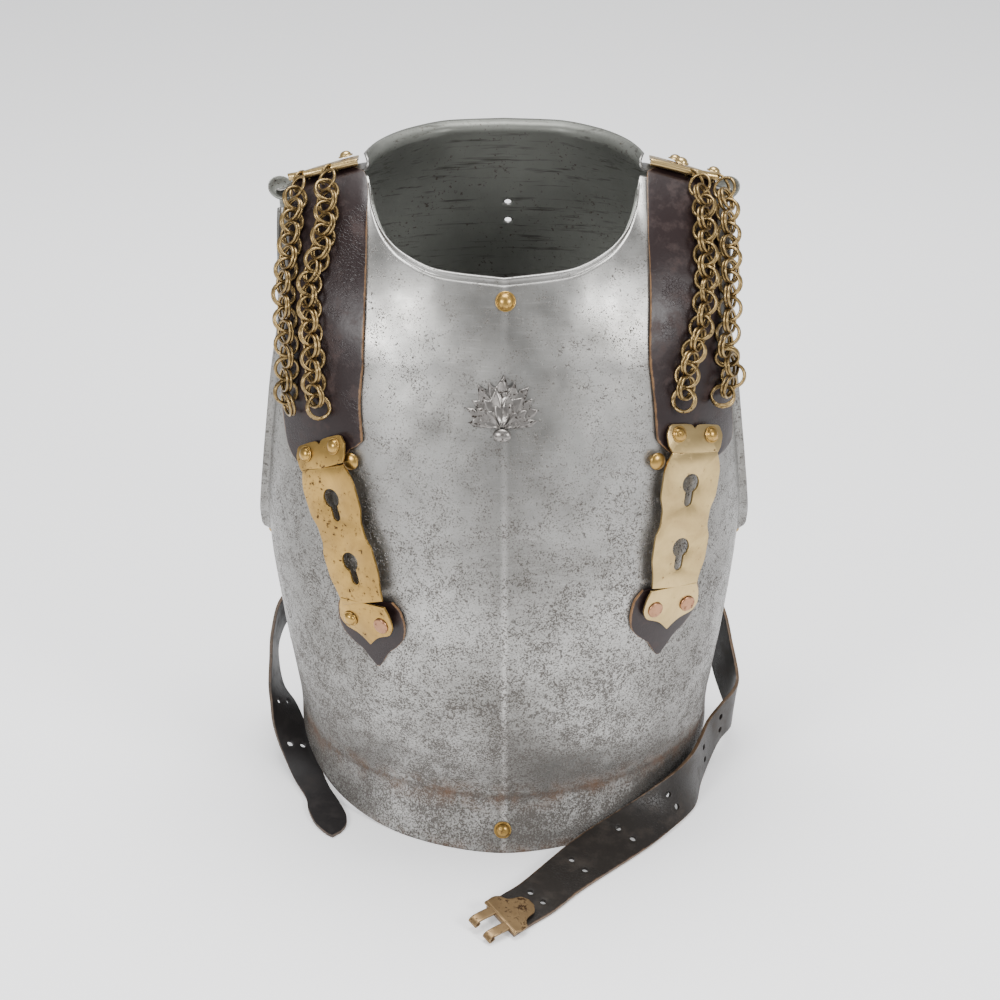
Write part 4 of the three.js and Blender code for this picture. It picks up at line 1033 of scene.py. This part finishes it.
def sheet_panel(bm, panel, outline, holes, thick):
    """Fills an outline round its holes and gives it a thickness, in the panel's frame."""
    edges = []
    for loop in [outline, *holes]:
        verts = [bm.verts.new(to_frame(in_panel(panel, x, y, thick))) for x, y in loop]
        edges += [bm.edges.new((verts[i - 1], verts[i])) for i in range(len(verts))]
    filled = bmesh.ops.triangle_fill(bm, use_beauty=True, edges=edges, normal=panel["out"])
    faces = [item for item in filled["geom"] if isinstance(item, bmesh.types.BMFace)]
    for face in faces:
        face.normal_update()
        if face.normal.dot(panel["out"]) < 0:
            face.normal_flip()
    pushed = bmesh.ops.extrude_face_region(bm, geom=faces, use_keep_orig=True)
    lower = [item for item in pushed["geom"] if isinstance(item, bmesh.types.BMVert)]
    bmesh.ops.translate(bm, verts=lower, vec=-panel["out"] * thick * MM)
    body = {face for vert in lower for face in vert.link_faces} | set(faces)
    bmesh.ops.recalc_face_normals(bm, faces=list(body))


def round_bar(bm, centre, direction, radius, length):
    """A round bar, such as the one along a bend, which two panels run into."""
    bmesh.ops.create_cone(
        bm, cap_ends=True, segments=20, radius1=radius * MM, radius2=radius * MM,
        depth=length * MM, matrix=stand(centre, direction),
    )


def lobed_end(rows, notch=3.0):
    """The flap's free end: two round lobes with a small notch between them."""
    right = side_outline(rows)
    last = right[-1]
    round_over = [(last[0] - 4.5 * (1 - math.cos(a)), last[1] + 3 * math.sin(a)) for a in (0.5, 1.0, 1.4)]
    top = last[1] + 3
    dip = [(9, top + 0.3), (4, top), (2, top - 0.8), (0, top - notch)]
    half = right + round_over + dip
    return half + [(-x, y) for x, y in reversed(half[:-1])]


def both_sides(side):
    return side + [(-x, y) for x, y in reversed(side)]


print("the main panel's outline has", len(both_sides(side_outline(MAIN_PANEL, 1.0, 40))), "points")

# %% End plates in place
KEYHOLES_AT = (22, 69.5)
for name, plate in END_PLATES.items():
    flap, main, lower = plate_frames(plate)
    stretch = main["long"] / MAIN_LENGTH
    bm = bmesh.new()
    side = side_outline(MAIN_PANEL, stretch, 40)
    sheet_panel(bm, main, both_sides(side), [keyhole(down) for down in KEYHOLES_AT], BRASS_THICK)
    sheet_panel(bm, flap, lobed_end(UPPER_FLAP), [], BRASS_THICK)
    sheet_panel(bm, lower, both_sides(side_outline(LOWER_FLAP)), [], BRASS_THICK)
    for down, half in ((0, 19.9), (main["long"], 19.4)):
        round_bar(bm, in_panel(main, 0, down, BRASS_THICK / 2), main["across"], BRASS_THICK / 2, 2 * half)
    metal = BRASS if name == "right" else PALE_BRASS
    finish_piece(f"keyhole_plate_{name}", bm, [metal], [f"end_plate_{name}"], bevel=0.35, angle=50)
    spots = [
        ("upper_1", flap, -14.5, 13, True), ("upper_2", flap, 14.5, 13, True),
        ("lower_1", lower, -14, 16, name == "right"), ("lower_2", lower, 14, 16, False),
    ]
    for label, panel, across, down, domed in spots:
        spot = in_panel(panel, across, down, BRASS_THICK + GAP)
        shape = dome_profile(6, 3.8) if domed else flat_profile(6, 1.4)
        rivet(f"rivet_{name}_{label}", shape, spot, panel["out"], BRASS if domed else COPPER)
    print(name, "end plate", round(main["long"]), "mm between its bends")

# %% [markdown]
# ## Shoulder plates
# A sheet of worn brass lies over each shoulder, and its front edge is rolled into a knuckle.
# The two chain strands hook through slots in that knuckle.

# %% Shoulder plates
BEAD, BEAD_LIFT, REACH = 2.8, 8.2, 8
INNER_END, OUTER_END = 0.68, 0.95
CHAIN_STARTS = {"right": (0.78, 0.89), "left": (0.84, 0.955)}
ACROSS, ALONG = 60, 90


def shoulder_edge(s, lift, reach):
    up = (plate_point(BACK, s, 3) - plate_point(BACK, s, 2.98)).normalized()
    return raised(BACK, s, 3, lift) + up * reach


def shoulder_point(side, c, r):
    """From the rear edge over the shoulder, then round the rolled front knuckle."""
    s = side * blend(INNER_END, OUTER_END, c)
    if r < 0.6:
        v = blend(2.8, 2.99, r / 0.6)
        over_leather = read(SHOULDER_ROWS, "v", "brass", v)
        lift = over_leather if v >= 2.87 else blend(2.2, 4.6, clamp((v - 2.8) / 0.07))
        point = raised(BACK, s, v, lift + PLATE_THICK)
    elif r < 0.72:
        f = (r - 0.6) / 0.12
        start = raised(BACK, s, 2.99, 6.2 + PLATE_THICK)
        point = start.lerp(shoulder_edge(s, BEAD_LIFT + BEAD, REACH - 1), f)
    else:
        angle = math.pi / 2 - (r - 0.72) / 0.28 * math.tau * 0.86
        point = shoulder_edge(s, BEAD_LIFT + BEAD * math.sin(angle), REACH + BEAD * math.cos(angle))
    return point, UNCUT


for name, side in (("right", -1), ("left", 1)):
    bm = grid_sheet(ACROSS, ALONG, lambda c, r: shoulder_point(side, c, r))
    slots = [(start - INNER_END) / (OUTER_END - INNER_END) for start in CHAIN_STARTS[name]]
    cut = []
    bm.faces.index_update()
    for face in bm.faces:
        c, r = (face.index % ACROSS + 0.5) / ACROSS, (face.index // ACROSS + 0.5) / ALONG
        if 0.66 < r < 0.86 and any(abs(c - slot) < 0.022 for slot in slots):
            cut.append(face)
    bmesh.ops.delete(bm, geom=cut, context="FACES")
    if side > 0:
        bmesh.ops.reverse_faces(bm, faces=list(bm.faces))
    thicken(bm, 1.1)
    finish_piece(f"shoulder_brass_{name}", bm, [PALE_BRASS], [f"shoulder_plate_{name}"], bevel=0.25)
    print(name, "shoulder plate,", len(cut), "faces cut for its slots")

# %% [markdown]
# ## Ring chains
# Each strand is made of doubled brass rings, linked so that every pair leans the other way from
# its neighbours. One ring is spun, and copies are turned and set at even steps along the strand's
# route. The first ring of each strand is single and hooks the shoulder plate.

# %% Chain routes and rings
# A strand starts at a share across the shoulder, then passes points of x, z and extra lift.
RING, WIRE, PITCH = 8.1, 1.15, 8.7
CHAINS = {
    "chain_right_outer": (-0.89, [
        (-142, 467, 3.6), (-144, 457, 2), (-146.5, 435, 0), (-149, 420, 0), (-146.5, 393, 0),
        (-146, 372, 0), (-147, 350, 0), (-143.5, 338, 0),
    ]),
    "chain_right_inner": (-0.78, [
        (-121, 474, 3.6), (-120.5, 464, 1.8), (-124, 445, 0), (-130.5, 428, 0), (-131, 412, 0),
        (-128, 380, 0), (-127, 357, 0), (-122, 343, 0),
    ]),
    "chain_left_inner": (0.84, [
        (135, 467, 3.6), (136, 456, 1.8), (136.5, 440, 0), (136.5, 424, 0), (132.5, 399, 0), (124, 377, 0),
        (121.5, 361, 0), (119.5, 349, 0),
    ]),
    "chain_left_outer": (0.955, [
        (153, 460, 3.2), (153.5, 447, 1.2), (153.5, 424, 0), (151.5, 396, 0), (149, 379, 0),
        (155, 360, 0), (146, 346, 0),
    ]),
}
CHAIN_LIFT = 9.9
TOP_OF_CHEST = 455
RING_SIDES, RING_STEPS = 6, 20
LEAN, LEAN_SPREAD = 40, 9
TOWARDS_FRONT = Vector((0, -0.9, 0.35))  # the strands hang facing forwards, not square to the chest


def curve_point(points, share):
    """A smooth curve through points: share runs from 0 to 1."""
    last = len(points) - 1
    place = clamp(share) * last
    i = min(int(place), last - 1)
    f = place - i
    b, c = points[i], points[i + 1]
    a = points[i - 1] if i else b * 2 - c
    d = points[i + 2] if i + 2 <= last else c * 2 - b
    return 0.5 * (2 * b + (c - a) * f + (2 * a - 5 * b + 4 * c - d) * f**2 + (3 * b - a - 3 * c + d) * f**3)


def spaced(points, pitch):
    """Points and directions at even steps along a smooth curve."""
    fine = [curve_point(points, i / 400) for i in range(401)]
    spots, run, due = [], 0.0, 0.0
    for a, b in zip(fine, fine[1:]):
        while run + (b - a).length >= due:
            f = (due - run) / (b - a).length
            spots.append((a.lerp(b, f), (b - a).normalized()))
            due += pitch
        run += (b - a).length
    return spots


def add_ring(bm, point, axis):
    turns = [math.tau * i / RING_SIDES for i in range(RING_SIDES + 1)]
    profile = [(RING + WIRE * math.cos(turn), WIRE * math.sin(turn)) for turn in turns]
    spun(bm, profile, RING_STEPS, stand(point, axis))


print("rings of", round(2 * (RING + WIRE), 1), "mm")

# %% Chains
random.seed(7)
for node_name, (start, path) in CHAINS.items():
    hook = shoulder_edge(start, BEAD_LIFT + 2, REACH + 9.5)
    route = [hook] + [on_chest(x, z, CHAIN_LIFT + extra) for x, z, extra in path]
    bm = bmesh.new()
    first = shoulder_edge(start, BEAD_LIFT, REACH) + Vector((0, -2.5, -5))
    add_ring(bm, first, Vector((1, math.copysign(0.9, start), 0.2)).normalized())
    spots = spaced(route, PITCH)
    for i, (spot, along) in enumerate(spots):
        if not i:
            continue
        out = (chest_normal(spot.x, min(spot.z, TOP_OF_CHEST)) + TOWARDS_FRONT).normalized()
        out = (out - along * out.dot(along)).normalized()
        aside = along.cross(out)
        lean = math.radians(LEAN + random.uniform(-LEAN_SPREAD, LEAN_SPREAD)) * (1 if i % 2 else -1)
        axis = out * math.cos(lean) + aside * math.sin(lean)
        for half in (-1, 1) if i > 1 else (0,):
            wobble = Vector([random.uniform(-0.06, 0.06) for _ in range(3)])
            add_ring(bm, spot + axis * half * (WIRE + 0.12), (axis + wobble).normalized())
    finish_piece(node_name + "_rings", bm, [CHAIN_BRASS], [node_name])
    print(node_name, "about", round(len(spots) * PITCH), "mm long")

# %% [markdown]
# ## Waist belts
# Each belt follows two rails: its upper and its lower edge. The sheet between them twists as it
# falls to the ground, and pairs of punched holes run along it. A hole is opened in the grid and
# its edge is drawn into a circle, so the leather keeps its wall there too.

# %% Belt rails and holes
# Each belt is its upper rail and its lower rail, from the backplate to the tip.
BELT_THICK, BELT_WIDTH, BELT_STEP = 2.6, 34, 1.6
HOLE_ASIDE = 0.18
LEFT_BELT = (
    [(112.6, 88.6, 129), (138.8, 71.2, 129), (159, 59, 117), (175, 45, 99), (182, 28, 74), (186, 12, 55),
     (182, -4, 52), (171, -20, 49), (160, -33, 42), (153, -50, 38), (145, -70, 36), (134, -86, 33),
     (122, -98, 30), (99, -112, 20), (80, -125, 14), (62, -139, 10), (45, -157, 8), (27, -180, 7),
     (11, -201, 7), (-3, -215, 7), (-13, -226, 7)],
    [(108.5, 85.1, 95), (134.4, 68.3, 95), (153, 71, 84), (164, 60, 62), (171, 40, 38), (179, 16, 21),
     (180, -5, 19), (170, -21, 16), (163, -34, 10), (157, -47, 4), (152, -62, 0.6), (147, -88, 0.6),
     (140, -103, 0.6), (126, -124, 0.6), (110, -144, 0.6), (91, -164, 0.6), (72, -183, 0.6), (54, -202, 0.6),
     (36, -224, 0.6), (19, -240, 0.6), (7, -252, 0.6)],
)
RIGHT_BELT = (
    [(-114, 91.6, 127), (-141.1, 73.8, 127), (-160, 58, 118), (-180, 45, 107), (-187, 28, 86),
     (-188, 14, 68), (-188, 0, 54), (-186, -12, 43), (-184, -22, 31), (-178, -35, 18), (-166, -57, 4),
     (-154, -82, 0.6), (-151, -98, 0.6), (-145, -115, 0.6), (-136, -128, 0.6), (-130, -133, 0.6)],
    [(-110, 88.2, 95), (-136.6, 70.9, 95), (-156, 72, 88), (-176, 62, 80), (-185, 52, 64), (-185, 39, 51),
     (-180, 24, 37), (-169, 10, 28), (-159, -8, 16), (-151, -29, 10), (-143, -54, 8), (-136, -73, 4),
     (-129, -87, 2), (-121.5, -105, 0.8), (-120.5, -118, 0.6), (-124, -127, 0.6)],
)
LEFT_HOLES = (5.5, 7.1, 9, 12.2, 14.2, 16.2, 18)
RIGHT_HOLES = (6.9, 8.9)


def rails(belt):
    return [[Vector(point) for point in rail] for rail in belt]


def belt_frame(belt, at):
    """The low and high edges at a station number, the way across, and the sheet's facing."""
    high, low = rails(belt)
    last = len(high) - 1

    def middle(value):
        return (curve_point(low, value / last) + curve_point(high, value / last)) / 2

    a, b = curve_point(low, clamp(at / last)), curve_point(high, clamp(at / last))
    along = (middle(min(last, at + 0.02)) - middle(max(0, at - 0.02))).normalized()
    across = (b - a).normalized()
    return a, b, across, across.cross(along).normalized()


print("belt stations", len(LEFT_BELT[0]), "and", len(RIGHT_BELT[0]))


# %% Belts
def belt_piece(name, belt, holes, node_name, material):
    last = len(belt[0]) - 1
    facing_up = math.copysign(1, belt_frame(belt, last - 2)[3].z)

    def place(c, r):
        low, high, _, out = belt_frame(belt, r * last)
        point = low.lerp(high, c) + out * facing_up * BELT_THICK
        point.z = max(point.z, BELT_THICK * 0.5)
        return point, min(min(c, 1 - c) * BELT_WIDTH, (1 - r) * 500)

    length = sum((b - a).length for a, b in zip(rails(belt)[0], rails(belt)[0][1:]))
    bm = grid_sheet(22, int(length / BELT_STEP), place)
    bmesh.ops.recalc_face_normals(bm, faces=list(bm.faces))
    for at in holes:
        low, high, _, out = belt_frame(belt, at)
        for share in (0.5 - HOLE_ASIDE, 0.5 + HOLE_ASIDE):
            open_hole(bm, low.lerp(high, share) + out * facing_up * BELT_THICK, out, BELT_HOLE_RADIUS)
    bm.faces.ensure_lookup_table()
    if bm.faces[0].normal.dot(belt_frame(belt, 0)[3] * facing_up) < 0:
        bmesh.ops.reverse_faces(bm, faces=list(bm.faces))
    thicken(bm, BELT_THICK)
    rest_on_ground(bm)
    finish_piece(name, bm, [material], [node_name], bevel=0.5)
    print(name, round(length), "mm along its upper edge")


belt_piece("left_belt", LEFT_BELT, LEFT_HOLES, "waist_belt_left", BELT)
belt_piece("right_belt", RIGHT_BELT, RIGHT_HOLES, "waist_belt_right", DARK_BELT)

# %% [markdown]
# ## The clasp
# The left belt ends in a brass plate riveted to the leather, with a bend and two hooks curled
# under. The hooks' side view is one path, given a width and a thickness.

# %% Clasp: its frame and outlines
CLASP_LIFT, CLASP_THICK = BELT_THICK + GAP, 1.7
CLASP_OUTLINE = table("back half", (0, 17.5), (6, 18.5), (11, 17), (14, 12), (18, 10), (24, 8.5), (28, 3))
CLASP_HOOK = [
    (-4, 0.6), (0, 0.9), (7, 0.7), (12.5, 0.4), (16, -0.3), (17.8, -1.5), (17, -2.7), (15, -3), (13, -2.4),
]
PRONG, PRONG_AT = 7.4, 8.6
BEND_RADIUS, BEND_LENGTH = 1.5, 36

low, high, across, out = belt_frame(LEFT_BELT, len(LEFT_BELT[0]) - 1)
ahead = out.cross(across).normalized()
ahead = ahead if ahead.y < 0 else -ahead
clasp_origin = (low + high) / 2 + out * CLASP_LIFT


def in_clasp(a, b, c):
    return clasp_origin + across * a + ahead * b + out * c


def clasp_plate_point(c, r):
    back = CLASP_OUTLINE["back"][-1] * r
    aside = blend(-1, 1, c) * read(CLASP_OUTLINE, "back", "half", back)
    return in_clasp(aside, -back, CLASP_THICK), UNCUT


hook_path = [Vector((b, c, 0)) for b, c in CLASP_HOOK]


def hook_point(centre, c, r):
    """A prong: its side view is the path, and it narrows towards its curled end."""
    here = curve_point(hook_path, r)
    ahead_of = curve_point(hook_path, min(1, r + 0.01)) - curve_point(hook_path, max(0, r - 0.01))
    slope = ahead_of.normalized()
    narrow = 1 - 0.35 * clamp((r - 0.75) / 0.25)
    across_by = centre + (c - 0.5) * PRONG * narrow
    spot = in_clasp(across_by, here.x - slope.y * CLASP_THICK, here.y + slope.x * CLASP_THICK)
    return spot, UNCUT


print("the clasp's middle", [round(value, 1) for value in clasp_origin])

# %% Clasp in place
clasp = grid_sheet(24, 30, clasp_plate_point)
thicken(clasp, CLASP_THICK)
rest_on_ground(clasp)
for centre in (-PRONG_AT, PRONG_AT):
    hook = grid_sheet(8, 40, lambda c, r: hook_point(centre, c, r))
    hook.faces.ensure_lookup_table()
    hook.faces[0].normal_update()
    if hook.faces[0].normal.dot(out) < 0:
        bmesh.ops.reverse_faces(hook, faces=list(hook.faces))
    thicken(hook, CLASP_THICK)
    rest_on_ground(hook)
    merge_into(clasp, hook)
round_bar(clasp, in_clasp(0, 0, BEND_RADIUS), across, BEND_RADIUS, BEND_LENGTH)
for a, b in ((-10, -7), (10, -7), (0, -20)):
    spun(clasp, flat_profile(2.6, 0.5), 18, stand(in_clasp(a, b, CLASP_THICK), out))
finish_piece("clasp", clasp, [CLASP_BRASS], ["belt_clasp"], bevel=0.3)
print("clasp", round(CLASP_OUTLINE["back"][-1] + CLASP_HOOK[5][0]), "mm from end to end")

# %% [markdown]
# ## The flaming grenade
# The badge is a traditional one: a ball with a fan of flames. Three fan-shaped grids lie one
# over another. Their flames rise to sharp crests and bend a little as they climb from the ball.

# %% Badge
BADGE_BASE, BALL_AT, BALL_SIZE = (-1, 348), (-1, 344), (6.5, 4.8, 3.2)
FLAME_WALL = 1.2
# Three fans of flames, one over another: how many, their share of the full reach and their lift.
FANS = [(11, 1.0, 2.0), (8, 0.76, 3.2), (6, 0.5, 4.2)]


def flame_point(flames, reach, lift, c, r):
    phase = c * flames
    within = abs((phase % 1) - 0.5) * 2
    curl = 9 * math.sin(r * 3) * (1 if int(phase) % 2 else -1) * (1 - within)
    angle = math.radians(blend(-86, 86, c) + curl + 8 * (c - 0.5) * r)
    tip = blend(1, 0.8, within**0.7) * (1 if int(phase) % 2 else 0.92)
    radius = blend(1.5, (26 + 9 * math.cos(angle) ** 2) * tip * reach, r)
    crest = 1.7 * (1 - within) ** 1.2 * (1 - 0.6 * r) * clamp(r * 6)
    groove = 0.3 * math.sin(within * 12) * r
    x, z = BADGE_BASE[0] + math.sin(angle) * radius, BADGE_BASE[1] + math.cos(angle) * radius
    return on_chest(x, z, lift + crest + groove), UNCUT


badge = bmesh.new()
badge.verts.layers.float.new("rim")
facing = chest_normal(*BADGE_BASE)
for flames, reach, lift in FANS:
    fan = grid_sheet(flames * 8, 22, lambda c, r: flame_point(flames, reach, lift, c, r))
    face_along(fan, facing)
    thicken(fan, FLAME_WALL)
    merge_into(badge, fan)
ball = bmesh.ops.create_uvsphere(badge, u_segments=32, v_segments=20, radius=1)["verts"]
ball_size = Matrix.Diagonal((*(size * MM for size in BALL_SIZE), 1))
ball_matrix = stand(on_chest(*BALL_AT, 3.6), facing) @ ball_size
bmesh.ops.transform(badge, matrix=ball_matrix, verts=ball)
finish_piece("badge", badge, [BADGE_METAL], ["grenade_badge"])
print("badge flames", sum(flames for flames, _, _ in FANS))
